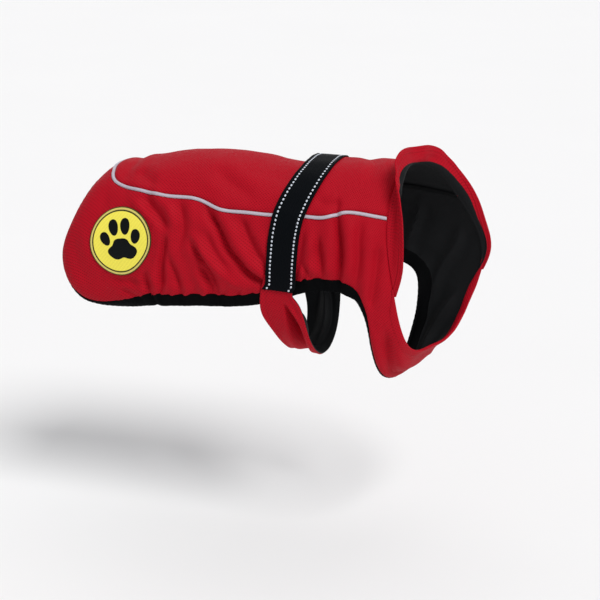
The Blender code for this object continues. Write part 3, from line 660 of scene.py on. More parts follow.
def tint(nt, bsdf, base, factor):
    """base colour times a factor"""
    mix = nt.nodes.new("ShaderNodeMix")
    mix.data_type = "RGBA"
    mix.blend_type = "MULTIPLY"
    mix.inputs[0].default_value = 1.0
    mix.inputs[6].default_value = (*base, 1)
    comb = nt.nodes.new("ShaderNodeCombineColor")
    for k in range(3):
        nt.links.new(factor, comb.inputs[k])
    nt.links.new(comb.outputs[0], mix.inputs[7])
    nt.links.new(mix.outputs[2], bsdf.inputs["Base Color"])
    return mix


def bump(nt, bsdf, layers):
    """heights in millimetres, stacked"""
    last = None
    for height, depth, strength in layers:
        b = nt.nodes.new("ShaderNodeBump")
        b.inputs["Strength"].default_value = strength
        b.inputs["Distance"].default_value = depth * MM
        nt.links.new(height, b.inputs["Height"])
        if last is not None:
            nt.links.new(last.outputs[0], b.inputs["Normal"])
        last = b
    nt.links.new(last.outputs[0], bsdf.inputs["Normal"])


def mesh_cloth(name, colour, rough, pitch, pit_shade, depth, vary, **sockets):
    """knitted cloth with small staggered dimples and a slight diagonal rib, its colour darker in the dimples: painted
    shade in the pits
    """
    mat, nt, bsdf = start(name, colour, rough, **sockets)
    x, y = cloth_axes(nt)
    dots = maths(nt, "MULTIPLY", wave(nt, x, pitch), wave(nt, y, pitch * 0.9))
    dimple = maths(nt, "POWER", maths(nt, "MAXIMUM", maths(nt, "MULTIPLY", dots, -1.0), 0.0), 1.6)
    rib = wave(nt, maths(nt, "ADD", x, y), pitch * 0.42)
    fuzz = swell(nt, 1500, 2.0)
    height = maths(nt, "SUBTRACT", maths(nt, "MULTIPLY_ADD", rib, 0.10, 0.5), dimple)
    height = maths(nt, "MULTIPLY_ADD", fuzz, 0.35, height)
    patchy = maths(nt, "MULTIPLY_ADD", swell(nt, 26, 3.0), vary, 1.0 - vary / 2)
    # painted shade: the colour goes darker in the knit's pits, by the given share
    shade = maths(nt, "MULTIPLY", patchy, maths(nt, "MULTIPLY_ADD", dimple, -pit_shade, 1.0))
    tint(nt, bsdf, colour, shade)
    r = maths(nt, "MULTIPLY_ADD", fuzz, 0.12, rough - 0.06)
    nt.links.new(r, bsdf.inputs["Roughness"])
    bump(nt, bsdf, [(swell(nt, 210, 3.0), 0.22, 0.5), (height, depth, 1.0)])
    return mat


def webbing(name, colour, rough, across, along, depth, **sockets):
    """woven strap: ribs across its run, with fine lengthwise ends"""
    mat, nt, bsdf = start(name, colour, rough, **sockets)
    x, y = cloth_axes(nt)
    weft = wave(nt, maths(nt, "ADD", x, maths(nt, "MULTIPLY", wave(nt, y, along * 2), 0.25)), across)
    warp = wave(nt, y, along)
    height = maths(nt, "MULTIPLY_ADD", weft, 0.3, maths(nt, "MULTIPLY_ADD", warp, 0.25, 0.5))
    fuzz = swell(nt, 1800, 2.0)
    height = maths(nt, "MULTIPLY_ADD", fuzz, 0.3, height)
    shade = maths(nt, "MULTIPLY_ADD", height, 0.7, 0.55)
    tint(nt, bsdf, colour, shade)
    bump(nt, bsdf, [(height, depth, 1.0)])
    return mat


RED_C = (0.425, 0.0034, 0.0140)
BLACK_C = (0.0016, 0.0024, 0.0036)

# the red knit and the black lining get painted shade in their pits, shares 0.50 and 0.35
red = mesh_cloth("red_mesh_knit", RED_C, 0.62, 3.1, 0.50, 0.24, 0.14,
                 Sheen_Weight=0.02, Sheen_Roughness=0.5, Sheen_Tint=(1.0, 0.25, 0.32, 1), Specular_IOR_Level=0.08)
lining = mesh_cloth("black_lining", (0.006, 0.0065, 0.0075), 0.72, 1.8, 0.35, 0.06, 0.2,
                    Sheen_Weight=0.03, Sheen_Roughness=0.5, Specular_IOR_Level=0.12)
strap_black = webbing("black_webbing", BLACK_C, 0.58, 1.15, 1.4, 0.16, Specular_IOR_Level=0.045)
elastic = webbing("black_elastic", (0.0016, 0.0018, 0.0021), 0.72, 0.95, 0.9, 0.12, Specular_IOR_Level=0.035)


def thread_mat(name, colour, rough, pitch=0.5, **sockets):
    mat, nt, bsdf = start(name, colour, rough, **sockets)
    tc = nt.nodes.new("ShaderNodeTexCoord")
    wv = node(nt, "ShaderNodeTexWave", Scale=1.0 / (pitch * MM) / 6.0, Distortion=1.5)
    wv.bands_direction = "DIAGONAL"
    nt.links.new(tc.outputs["Object"], wv.inputs["Vector"])
    shade = maths(nt, "MULTIPLY_ADD", wv.outputs[1], 0.2, 0.88)
    tint(nt, bsdf, colour, shade)
    bump(nt, bsdf, [(wv.outputs[1], 0.05, 0.8)])
    return mat


white_thread = thread_mat("reflective_thread", (0.60, 0.64, 0.71), 0.4, Specular_IOR_Level=0.3)
red_thread = thread_mat("red_thread", (0.27, 0.004, 0.010), 0.5, Specular_IOR_Level=0.15)


def piping_mat():
    """grey reflective strip: tiny glass beads on cloth, with a satin glance"""
    mat, nt, bsdf = start("reflective_tape", (0.50, 0.46, 0.53), 0.42, Specular_IOR_Level=0.35)
    tc = nt.nodes.new("ShaderNodeTexCoord")
    beads = node(nt, "ShaderNodeTexVoronoi", Scale=2600.0)
    nt.links.new(tc.outputs["Object"], beads.inputs["Vector"])
    shade = maths(nt, "MULTIPLY_ADD", beads.outputs["Distance"], -0.35, 1.12)
    shade = maths(nt, "MULTIPLY", shade, maths(nt, "MULTIPLY_ADD", swell(nt, 60, 3.0), 0.16, 0.92))
    tint(nt, bsdf, (0.50, 0.46, 0.53), shade)
    x, y = cloth_axes(nt)
    wrap = wave(nt, maths(nt, "ADD", x, maths(nt, "MULTIPLY", y, 0.6)), 2.6)
    bump(nt, bsdf, [(wrap, 0.05, 0.5), (beads.outputs["Distance"], 0.05, 0.8)])
    return mat


silver = piping_mat()
# a black sheet for the piping's flanks down in the seam gaps and for its ends: painted shade along both edges of the
# piping
seam_gap_shade = webbing("painted_seam_gap_shade", (0.004, 0.0045, 0.005), 0.8, 0.8, 0.9, 0.06, Specular_IOR_Level=0.1)


def twill(name, colour, rough, pitch, depth, angle, **sockets):
    """stitched field: fine slanting thread lines, from the patch's own places"""
    mat, nt, bsdf = start(name, colour, rough, **sockets)
    x, y = cloth_axes(nt)
    c, s = math.cos(angle), math.sin(angle)
    q = maths(nt, "ADD", maths(nt, "MULTIPLY", x, c), maths(nt, "MULTIPLY", y, s))
    w = maths(nt, "ADD", maths(nt, "MULTIPLY", x, -s), maths(nt, "MULTIPLY", y, c))
    nz = swell(nt, 420, 2.0)
    lines = wave(nt, maths(nt, "ADD", q, maths(nt, "MULTIPLY", nz, pitch * 0.5)), pitch)
    ends = wave(nt, maths(nt, "ADD", w, maths(nt, "MULTIPLY", lines, pitch * 0.3)), pitch * 3.4)
    height = maths(nt, "MULTIPLY_ADD", ends, 0.14, maths(nt, "MULTIPLY_ADD", lines, 0.36, 0.5))
    shade = maths(nt, "MULTIPLY_ADD", height, 0.24, 0.84)
    tint(nt, bsdf, colour, shade)
    bump(nt, bsdf, [(height, depth, 0.9)])
    return mat


yellow = twill("yellow_twill", (0.95, 0.84, 0.105), 0.6, 0.75, 0.07, 0.7, Specular_IOR_Level=0.12)
ink = twill("black_satin_stitch", (0.0028, 0.0042, 0.0048), 0.45, 0.62, 0.09, 0.35, Specular_IOR_Level=0.08)
rim_y = twill("pale_edge_thread", (0.70, 0.60, 0.16), 0.5, 0.7, 0.12, 0.0, Specular_IOR_Level=0.2)
# this dark thread makes the thin ring inside the pale edge, and it also covers the patch's outermost ring and side:
# painted shade along the patch's edge
ring_and_edge_shade = twill("dark_ring_thread_and_painted_edge_shade", (0.045, 0.043, 0.010), 0.5, 0.6, 0.08, 0.0, Specular_IOR_Level=0.15)

# ------------------------------------------------------------------ cloth panels
EDGE_STEPS = np.array([0.0, 0.35, 0.8, 1.4, 2.2, 3.4])


def shares(count, length, first=EDGE_STEPS, last=EDGE_STEPS):
    """places from 0 to 1, close together at both ends; length is in millimetres"""
    a, b = first / length, 1 - last[::-1] / length
    mid = np.linspace(a[-1], b[0], count - len(first) - len(last) + 2)[1:-1]
    return np.concatenate([a, mid, b])


SEAM_S = np.linspace(0, S_NECK, 150)
seam_u, seam_a = upper_edge(SEAM_S, 0.0)
both_u = np.concatenate([seam_u[::-1], seam_u[1:]])
both_a = np.concatenate([-seam_a[::-1], seam_a[1:]])
WHOLE_SEAM = form(both_u, both_a)
NECKLINE = form(np.full(300, 105.0), np.linspace(-180, 180, 300))


def seam_dip(p, drop=1.35, reach=1.0):
    """how the face of the cloth turns down into the piping seam and the neckline"""
    d = np.maximum(nearest(p, WHOLE_SEAM)[0] - 1.15, 0)
    e = np.maximum(nearest(p, NECKLINE)[0] - 0.3, 0)
    return drop * np.exp(-(d / reach)**1.3) + 0.95 * np.exp(-(e / 0.9)**1.3), d


def hem_keep(w):
    """how much of the folds is left near the elastic"""
    return 0.24 + 0.76 * ease((w - 5) / 24.0)


def side_panel(side, name):
    cols, rows = 330, 84
    s = np.concatenate([np.linspace(0, S_BEND, 36), np.linspace(S_BEND, S_NECK, 250)[1:],
                        np.linspace(S_NECK, 1.0, 46)[1:]])
    top_u, top_a = upper_edge(s, 1.15)
    hem_u, hem_a = hem_edge(s, HEM_W - 3.4)
    top_a[0] = hem_a[0] = 0.02
    top_a[-1] = hem_a[-1] = 180 - 0.02
    on_neck = s >= S_NECK - 1e-6
    cut = np.where(top_a <= COLLAR_END - 6, 0.3, 0.3 + (neck_cut(top_a) - 1.5) * ease((top_a - COLLAR_END + 6) / 8.0))
    top_u = np.where(on_neck, back_u(side * top_a, np.full(len(s), 105.0), cut), top_u)
    t = shares(rows, 85.0, last=np.array([0, 0.8, 1.7, 2.8, 4.2]))[None, :]
    u = top_u[:, None] + (hem_u - top_u)[:, None] * t
    a = top_a[:, None] + (hem_a - top_a)[:, None] * t
    p = form(u, side * a)
    step = np.linalg.norm(np.diff(p, axis=1), axis=-1)
    w = HEM_W - 3.4 + np.concatenate([np.cumsum(step[:, ::-1], axis=1)[:, ::-1], np.zeros((len(s), 1))], axis=1)
    keep = hem_keep(w)
    h = relief(u, side * a) * keep
    # small gathers where the elastic draws the cloth in
    line = form(*beside_side(hem_u, hem_a, side))
    run = np.concatenate([[0], np.cumsum(np.linalg.norm(np.diff(line, axis=0), axis=-1))])
    wob = ripple(line, 31, 11 + side)
    amp = 0.35 + 0.65 * np.clip(0.5 + 0.9 * ripple(line, 44, 17 + side), 0, 1)
    phase = run / 14.0 + 0.55 * wob
    slant = (w - HEM_W + 3.4) * 0.010
    puck = np.sin(2 * np.pi * (phase[:, None] + slant)) * amp[:, None]
    puck += 0.4 * np.sin(2 * np.pi * (1.83 * phase[:, None] - slant * 2)) * amp[:, None]
    few = (0.04 + 0.96 * ease((s - 0.33) / 0.10) - 0.85 * ease((s - 0.78) / 0.08))[:, None]       # hardly any where the cloth turns under
    h = h + 0.85 * few * puck * np.exp(-((w - HEM_W - 1.0) / 9.5)**2) * ease((w - HEM_W + 3.6) / 3.5)
    h = h + 1.0 * few * bell(w - HEM_W - 8.0, 6.0) * (0.5 + 0.5 * amp[:, None])
    drop = seam_dip(p.reshape(-1, 3))[0].reshape(w.shape)
    tuck = 0.75 * np.exp(-((w - HEM_W + 3.4) / 2.2)**2)
    down = hem_down(s, side)[:, None, :]
    high = bent(u, side * a, s[:, None], w, down, h + FACE - drop - tuck)
    low = bent(u, side * a, s[:, None], w, down, h + BACK - 0.32 * drop - 0.2 * tuck)
    uv = flat_xy(u, side * a)
    return skin(name, low, high, uv, [red, lining]), w


def beside_side(u, a, side):
    return u, a * side


side_right, _ = side_panel(R, "side_cloth_right")
side_left, _ = side_panel(L, "side_cloth_left")


def saddle_panel():
    s_side = np.linspace(S_BEND, S_NECK, 250)
    s_rear = np.linspace(0, S_BEND, 44)
    s = np.concatenate([s_rear, s_side[1:]])
    eu, ea = upper_edge(s, -1.15)
    ea[0] = 0.0
    k = len(s_rear) - 1
    rear_u = np.concatenate([eu[:k + 1][::-1], eu[1:k + 1]])
    rear_a = np.concatenate([-ea[:k + 1][::-1], ea[1:k + 1]])
    side_u, side_a = eu[k:], ea[k:]
    n, m = len(side_u), len(rear_u)
    # resample both ways so that rows lie close together along the seams
    xs = shares(n + 8, 320.0)
    ys = shares(m + 10, 150.0)
    s0 = np.linspace(0, 1, n)
    r0 = np.linspace(0, 1, m)
    side_u, side_a = np.interp(xs, s0, side_u), np.interp(xs, s0, side_a)
    rear_u, rear_a = np.interp(ys, r0, rear_u), np.interp(ys, r0, rear_a)
    front_a = np.interp(ys, r0, np.linspace(-side_a[-1], side_a[-1], m))
    front_u = back_u(front_a, np.full(len(ys), 105.0), 0.3)
    x, y = xs[:, None], ys[None, :]

    def coons(right, left, rear, front):
        c = (1 - y) * right[:, None] + y * left[:, None] + (1 - x) * rear[None, :] + x * front[None, :]
        return (c - (1 - x) * (1 - y) * rear[0] - (1 - x) * y * rear[-1]
                - x * (1 - y) * front[0] - x * y * front[-1])
    side_u = side_u.copy()
    side_u[-1] = front_u[-1]
    u = coons(np.concatenate([side_u[:-1], [front_u[0]]]), side_u, rear_u, front_u)
    a = coons(-side_a, side_a, rear_a, front_a)
    h = relief(u, a)
    p = form(u, a)
    fall, d = seam_dip(p.reshape(-1, 3))
    fall, d = fall.reshape(u.shape), d.reshape(u.shape)
    h = h + 0.35 * bell(d - 4.0, 3.0)
    high = place(u, a, h + FACE - fall)
    low = place(u, a, h + BACK - 0.32 * fall)
    return skin("saddle_cloth", low, high, flat_xy(u, a), [red, lining])


saddle = saddle_panel()

# ------------------------------------------------------------------ piping
PIPE_S = np.linspace(0, S_NECK, 300)
pu, pa = upper_edge(PIPE_S, 0.0)
pu = np.concatenate([pu[::-1], pu[1:]])
pa = np.concatenate([-pa[::-1], pa[1:]])
pa[len(PIPE_S) - 1] = 0.0
pu[[0, -1]] = back_u(pa[[0, -1]], np.array([105.0, 105.0]), 1.0)
pipe_h = relief(pu, pa)
pp, pn, _, _ = local(pu, pa)
run = unit(np.gradient(pp + pn * pipe_h[:, None], axis=0))
across = unit(np.cross(pn, run))
core = pp + pn * (pipe_h + 1.15)[:, None]
ring = []
around = []
for k in range(13):                                 # the round face
    th = math.radians(-28 + 236 * k / 12)
    ring.append(core + across * (PIPE_R * math.cos(th)) + pn * (PIPE_R * 1.0 * math.sin(th)))
    around.append(0)
# the flanks, down in the seam gaps, take the black second material: painted shade beside the piping
for off, height in ((-1.5, 0.05), (-2.5, -0.05), (-2.7, -0.2), (-2.5, -0.4), (0.0, -0.5), (2.5, -0.4), (2.7, -0.2), (2.5, -0.05), (1.5, 0.05)):
    wu, wa = beside(pu, pa, off * 0.999 + 1e-6)
    wa[[0, -1]] = pa[[0, -1]]
    wu[[0, -1]] = pu[[0, -1]]
    ring.append(place(wu, wa, relief(wu, wa) + height))
    around.append(1)
around[12] = 1
piping = loop_body("saddle_piping", np.stack(ring, 1), [silver, seam_gap_shade], around, end_mat=1)

# ------------------------------------------------------------------ hem and neck bindings


def band_profile(width, thick, lip, inner):
    """outer face from the cloth down to the edge and back inside, as (w, h)"""
    pts = []
    pts.append((width + 0.35, lip - 0.35))
    pts.append((width + 0.1, lip + 0.12))
    for k in range(1, 10):
        t = k / 10
        pts.append((width * (1 - t), lip + 0.2 + (thick - lip) * math.sin(math.pi * min(1.0, t * 0.62 + 0.05)) ** 0.8))
    r = 0.95
    for k in range(1, 8):
        th = math.pi / 2 - math.pi * k / 8
        pts.append((-r * math.cos(th) * 0.6, thick / 2 + (thick / 2) * math.sin(th)))
    pts.append((0.3 * width, inner))
    pts.append((0.6 * width, inner))
    pts.append((width * 0.93, inner + 0.05))
    pts.append((width + 0.1, inner + 0.45))
    return pts


def hem_band(side, name):
    s = np.linspace(0, 1, 560)
    base_u = spline(CUT_T["s"], CUT_T["hem_u"], s)
    base_a = spline(CUT_T["s"], CUT_T["hem_a"], s)
    line = form(base_u, base_a * side)
    wavy = 0.5 * ripple(line, 17, 23 + side) + 1.3 * ripple(line, 40, 29 + side)
    run = np.concatenate([[0], np.cumsum(np.linalg.norm(np.diff(line, axis=0), axis=-1))])
    ends = ease(np.minimum(s, 1 - s) / 0.02)
    down = hem_down(s, side)
    rings = []
    for w, h in band_profile(HEM_W, 2.35, 1.75, -0.15):
        uu, aa = hem_edge(s, w + wavy * ends * (0.15 + 0.85 * max(w, 0.0) / HEM_W))
        aa[0], aa[-1] = 0.02, 180 - 0.02
        aa = np.clip(aa, 0.02, 180 - 0.02)
        ww = np.full(len(s), float(w))
        fold = relief(uu, aa * side) * hem_keep(ww)
        small = 0.10 * np.sin(2 * np.pi * run / 5.5 + 2.5 * wavy)
        rings.append(bent(uu, aa * side, s, ww, down, fold + h + small * (h > 1)))
    return loop_body(name, np.stack(rings, 1), [elastic], None, run)


hem_right = hem_band(R, "hem_binding_right")
hem_left = hem_band(L, "hem_binding_left")


def neck_binding():
    a = np.linspace(COLLAR_END - 7.0, 360 - COLLAR_END + 7.0, 240)
    fold_a = np.where(a > 180, 360 - a, a)
    width = neck_cut(fold_a)
    rings = []
    for w, h in band_profile(NECK_W, 2.25, 1.65, -0.1):
        share = max(w, 0.0) / NECK_W
        over = min(w, 0.0)
        uu = back_u(a, np.full(len(a), 105.0), width * share + over)
        rings.append(place(uu, a, relief(uu, a) * 0.8 + h))
    return loop_body("neck_binding", np.stack(rings, 1), [red])


neck_band = neck_binding()

# ------------------------------------------------------------------ belt


def belt_line(angles):
    mag = np.abs(angles)
    mid = spline(BELT_T["a"], BELT_T["u"], mag)
    ride = spline(RIDE_T["a"], RIDE_T["lift"], mag)
    return mid, ride


belt_a = np.linspace(-123.8, 123.8, 352)
mid_u, ride = belt_line(belt_a)
kink = 3.8 * ease((np.abs(belt_a) - 119.5) / 5.5)     # its ends are drawn back with the belly band
half = BELT_W / 2
prof = []
for k in range(5):
    th = math.pi / 2 + math.pi * k / 4
    prof.append((-half + 0.75 + 0.75 * math.cos(th), 0.75 + 0.75 * math.sin(th)))
low_side = [(x, 0.0) for x in np.linspace(-half + 1.6, half - 1.6, 12)]
cap = []
for k in range(5):
    th = -math.pi / 2 + math.pi * k / 4
    cap.append((half - 0.75 + 0.75 * math.cos(th), 0.75 + 0.75 * math.sin(th)))


def belt_top(x):
    """the webbing's face: a raised edge and the two stitched lines drawn in"""
    edge = half - abs(x)
    return 1.35 + 0.12 * math.exp(-((edge - 1.2) / 0.9)**2) - 0.22 * math.exp(-((edge - 4.1) / 1.1)**2)


high_side = [(x, belt_top(x)) for x in np.linspace(half - 1.6, -half + 1.6, 34)]
profile = prof + low_side + cap + high_side
bp, bn, bdu, _ = local(mid_u, belt_a)
brun = np.gradient(bp, axis=0)
cup = relief(mid_u, belt_a)
rings, widths = [], []
for x, h in profile:
    bu, ba = moved(mid_u - kink, belt_a, brun, np.full(len(belt_a), x))
    q, n, _, _ = local(bu, ba)
    sway = 0.12 * np.sin(belt_a * 0.35 + x * 0.05)
    rings.append(q + n * (ride + h + sway)[:, None])
    widths.append(x)
belt = loop_body("back_belt", np.stack(rings, 1), [strap_black])

spots, runs, norms = [], [], []
lens = np.concatenate([[0], np.cumsum(np.linalg.norm(np.diff(bp, axis=0), axis=-1))])
for off in (-half + 4.1, half - 4.1):
    marks = np.arange(1.6, lens[-1] - 1.0, 3.55)
    aa = np.interp(marks, lens, belt_a)
    mu, rd = belt_line(aa)
    kk = 3.8 * ease((np.abs(aa) - 119.5) / 5.5)
    pr = np.stack([np.interp(aa, belt_a, brun[:, c]) for c in range(3)], -1)
    uu, a2 = moved(mu - kk, aa, pr, np.full(len(aa), off))
    q, n, _, _ = local(uu, a2)
    pts = q + n * (rd + 1.35 - 0.1 + 0.12 * np.sin(aa * 0.35 + off * 0.05))[:, None]
    spots.append(pts)
    runs.append(np.gradient(pts, axis=0))
    norms.append(n)
belt_rows = threads("belt_reflective_rows", np.concatenate(spots), np.concatenate(runs),
                    np.concatenate(norms), 2.3, 1.9, 0.62, white_thread)

# ------------------------------------------------------------------ belly band


def belly_place(angles, part):
    """places on the belly band; part, meant to run from -0.5 at its neck edge to 0.5 at its tail edge, is not used"""
    fold_a = np.where(angles > 180, 360 - angles, angles)
    mid = spline(BELLY_TAB["a"], BELLY_TAB["u"], fold_a)
    wide = spline(BELLY_TAB["a"], BELLY_TAB["width"], fold_a)
    lift = spline(BELLY_TAB["a"], BELLY_TAB["lift"], fold_a)
    run = np.gradient(form(mid, angles), axis=0)
    return mid, wide, lift, run


ba_all = np.linspace(115.0, 245.0, 260)
mid, wide, lift, run = belly_place(ba_all, 0)
parts = np.linspace(-0.5, 0.5, 60)
# which way the band runs decides the sign: u grows where part shrinks
low_rows, high_rows, uvs = [], [], []


def pleat(u, a):
    """one deep pleat a side: gentle toward the tail, sharp under the turned-up neck edge"""
    out = np.zeros(u.shape)
    for flip, share, late, ahead in ((True, 1.0, 0.0, 0.0), (False, 0.62, 5.0, -2.0)):
        fold = np.where(a > 180, 360 - a, a) - late
        here = (a > 180) == flip
        mid_u = spline([115, 131, 137, 143, 150, 156, 163, 180], [-19, -17.6, -14.2, -10.2, -7.2, -6.0, -6.2, -8], fold) + ahead
        deep = spline([115, 132, 136, 140, 146, 152, 160, 170, 180], [0, 0, 3.6, 10.4, 17.4, 19.4, 13.5, 4.0, 0.3], fold) * share
        slow = spline([115, 134, 140, 146, 152, 165, 180], [2.2, 2.6, 6.0, 9.8, 11.6, 10.8, 9], fold)
        fast = spline([115, 134, 140, 146, 152, 165, 180], [1.6, 1.8, 2.6, 3.4, 3.8, 4.2, 5], fold)
        d = u - mid_u
        form_x = np.where(d < 0, ease(1 + d / slow), ease(1 - d / fast))
        flange = 1.2 * bell(d - fast - 1.0, 2.2) * np.clip(deep / 8.0, 0, 1)
        out += np.where(here, np.clip(deep, 0, 20) * form_x - flange, 0)
    return out


arc = np.concatenate([[0], np.cumsum(np.linalg.norm(np.diff(form(mid, ba_all), axis=0), axis=-1))])
for part in parts:
    bu, ba = moved(mid, ba_all, run, part * wide)
    q, n, _, _ = local(bu, ba)
    h = lift.copy()
    h = h - pleat(bu, ba_all)
    h = h + 0.45 * ripple(q, 33, 41) + 0.2 * ripple(q, 14, 42)
    edge = (0.5 - abs(part)) * wide
    lip = 0.45 * bell(edge - 1.2, 1.6) - 0.3 * bell(edge - 5.2, 1.0)
    low_rows.append(q + n * (h + 0.1 - 0.3 * bell(edge, 1.2))[:, None])
    high_rows.append(q + n * (h + 1.45 + lip - 0.75 * bell(edge, 0.5))[:, None])
    uvs.append(np.stack([part * wide, arc], -1))
belly = skin("belly_band_cloth", np.stack(low_rows, 1), np.stack(high_rows, 1), np.stack(uvs, 1), [red, lining])

# ------------------------------------------------------------------ collar


def collar_ways(n, du, angles):
    """forward along the neck, and upward with a little outward, for each angle"""
    fwd = unit(du)
    up = np.array([0.0, 0.0, 1.0])
    mix = np.clip((np.abs(angles) - 45) / 45, 0, 1)[:, None]
    rise = (1 - mix) * unit(0.85 * up + 0.30 * n) + mix * unit(n + 0.35 * up)
    return fwd, unit(rise - (rise * fwd).sum(-1, keepdims=True) * fwd)


col_a = np.linspace(-COLLAR_END, COLLAR_END, 300)
height = spline(COLLAR_TAB["a"], COLLAR_TAB["height"], col_a)
lean = np.radians(spline(COLLAR_TAB["a"], COLLAR_TAB["lean"], col_a))
p, n, du, da = local(np.full(len(col_a), 105.0), col_a)
fwd, rise = collar_ways(n, du, col_a)
STEPS = 56
spot = p + n * 0.15 - fwd * 1.5
reach = (height + 1.5) / STEPS
cols_in, cols_out, outs = [], [], []
soft = ripple(p, 30, 51)
soft2 = ripple(p, 13, 52)
for k in range(STEPS + 1):
    t = k / STEPS
    turn = lean * min(1.0, k / (0.45 * STEPS))
    way = fwd * np.cos(turn)[:, None] + rise * np.sin(turn)[:, None]
    out = unit(np.cross(way, np.gradient(spot, axis=0)))
    left = (height + 1.5) * (1 - t)                    # distance below the rim
    crease = -1.5 * bell(col_a - 6.5, 4.2) * ease(t * 1.2) + 0.8 * bell(col_a + 2.0, 5.0) * ease(t)
    crease += -1.2 * bell(col_a + 33.0, 3.0) * ease(t * 1.2) - 0.9 * bell(col_a - 34.0, 3.5) * ease(t * 1.2)
    pocket = 2.4 * bell(col_a - 15.0, 7.0) * bell(left - 11.5, 4.0) + 1.4 * bell(col_a + 24.0, 8.0) * bell(left - 12.0, 4.5)
    swing = (0.7 * soft + 0.3 * soft2) * ease(t * 1.5) + crease + pocket
    stitch = 0.50 * bell(left - 5.0, 0.8) + 0.30 * bell(left - 2.6, 0.7)
    fat = 0.22 * bell(left - 3.8, 1.3)
    deep = (height + 1.5) * t                          # distance from the hidden edge
    sunk = 1.25 * (1 - ease((deep - 0.7) / 1.9))
    cols_in.append(spot + out * (swing + stitch - fat - 0.45 * sunk)[:, None])
    cols_out.append(spot + out * (swing + 1.45 - stitch + fat - sunk)[:, None])
    outs.append(out)
    spot = spot + way * reach[:, None]
rim_in, rim_out, top_way = cols_in[-1], cols_out[-1], way
ring = list(cols_in)
for k in range(1, 6):
    th = math.pi * k / 6
    midp, span = (rim_in + rim_out) / 2, (rim_in - rim_out) / 2
    ring.append(midp + span * math.cos(th) + top_way * 0.75 * math.sin(th))
ring += cols_out[::-1]
collar = loop_body("collar_cloth", np.stack(ring, 1), [red, lining])
facing = spline([-114, -60, -30, 0, 20, 35, 45, 60, 80, 114], [3, 9, 14, 14, 15, 12.5, 9.5, 6.5, 3.8, 3], col_a)
inside = np.zeros((len(col_a) - 1, len(ring)), dtype=np.int32)      # the lining comes up to a red facing
for k in range(STEPS):
    low_by = (height + 1.5) * (1 - (k + 0.5) / STEPS)
    inside[:, k] = (low_by > facing)[:-1]
collar_mats = np.zeros(len(collar.data.polygons), dtype=np.int32)
collar.data.polygons.foreach_get("material_index", collar_mats)
collar_mats[:inside.size] = inside.ravel()
collar.data.polygons.foreach_set("material_index", collar_mats)


def collar_row(below, face, pitch, lift):
    """stitch places on a face of the collar, a distance below its rim"""
    share = np.clip(1 - below / (height + 1.5), 0.05, 1) * STEPS
    rows = np.stack(face, 0)
    i = np.clip(share.astype(int), 0, STEPS - 1)
    f = (share - i)[:, None]
    j = np.arange(len(col_a))
    line = rows[i, j] * (1 - f) + rows[i + 1, j] * f
    o = np.stack(outs, 0)[i, j] * lift
    lens = np.concatenate([[0], np.cumsum(np.linalg.norm(np.diff(line, axis=0), axis=-1))])
    marks = np.arange(2.0, lens[-1] - 2.0, pitch)
    pts = np.stack([np.interp(marks, lens, line[:, c]) for c in range(3)], -1)
    nrm = np.stack([np.interp(marks, lens, o[:, c]) for c in range(3)], -1)
    return pts, np.gradient(pts, axis=0), nrm


a1, b1, c1 = collar_row(5.0, cols_in, 3.3, -1.0)
keep = a1[:, 2] > np.interp(62, col_a, rim_in[:, 2]) - 4
a1, b1, c1 = a1[keep], b1[keep], c1[keep]
a2, b2, c2 = collar_row(5.0, cols_out, 3.3, 1.0)
collar_rows = threads("collar_topstitch", np.concatenate([a1, a2]), np.concatenate([b1, b2]),
                      np.concatenate([c1, c2]), 2.5, 0.55, 0.42, red_thread)

# ------------------------------------------------------------------ round patch
e1, e2, (bn0, du0, da0) = badge_frame()
solve = np.linalg.pinv(np.stack([du0, da0], -1))


def badge_place(x, y, h):
    """a point of the patch, x toward the neck and y up, in millimetres from its middle"""
    d = np.stack([x, y], -1) @ np.stack([e1, e2])
    q = d @ solve.T
    return place(BADGE_AT[0] + q[..., 0], BADGE_AT[1] + q[..., 1], h)


def disc(name, outline, heights, levels, mats, level_mat, drop, spokes=144):
    """domed disc: outline(th) gives x and y, levels are shares of the way out"""
    th = np.linspace(0, 2 * np.pi, spokes, endpoint=False)
    ox, oy = outline(th)
    cx, cy = ox.mean(), oy.mean()
    pts, uv, faces, mat = [badge_place(np.array(cx), np.array(cy), np.array(heights[0]))], [(cx, cy)], [], []
    for lv, h in zip(levels, heights):
        x, y = cx + (ox - cx) * lv, cy + (oy - cy) * lv
        pts.extend(badge_place(x, y, np.full(spokes, h)))
        uv.extend(np.stack([x, y], -1).tolist())
    x, y = cx + (ox - cx) * levels[-1], cy + (oy - cy) * levels[-1]
    pts.extend(badge_place(x, y, np.full(spokes, drop)))
    uv.extend(np.stack([x, y], -1).tolist())
    rows = len(levels) + 1
    for k in range(spokes):
        k2 = (k + 1) % spokes
        faces.append((0, 1 + k, 1 + k2))
        mat.append(level_mat[0])
        for r in range(rows - 1):
            b0, b1 = 1 + r * spokes, 1 + (r + 1) * spokes
            faces.append((b0 + k, b1 + k, b1 + k2, b0 + k2))
            mat.append(level_mat[min(r + 1, len(level_mat) - 1)])
    last = 1 + (rows - 1) * spokes
    pts.append(badge_place(np.array(cx), np.array(cy), np.array(drop)))
    uv.append((cx, cy))
    for k in range(spokes):
        faces.append((len(pts) - 1, last + (k + 1) % spokes, last + k))
        mat.append(level_mat[-1])
    return make(name, np.array(pts), faces, mats, mat, np.array(uv), sharp=1.4)


def oval(th):
    r = 1 - 0.022 * np.cos(th + 0.75) - 0.012 * np.cos(2 * th + 1.6)     # sewn down over the curve of the hip
    r = r * (1.011 + 0.0365 * np.cos(th - 3.0) + 0.046 * np.cos(2 * th - 1.67) + 0.033 * np.cos(3 * th - 0.44))
    return BADGE_R[0] * r * np.cos(th) + 0.3, BADGE_R[1] * r * np.sin(th)


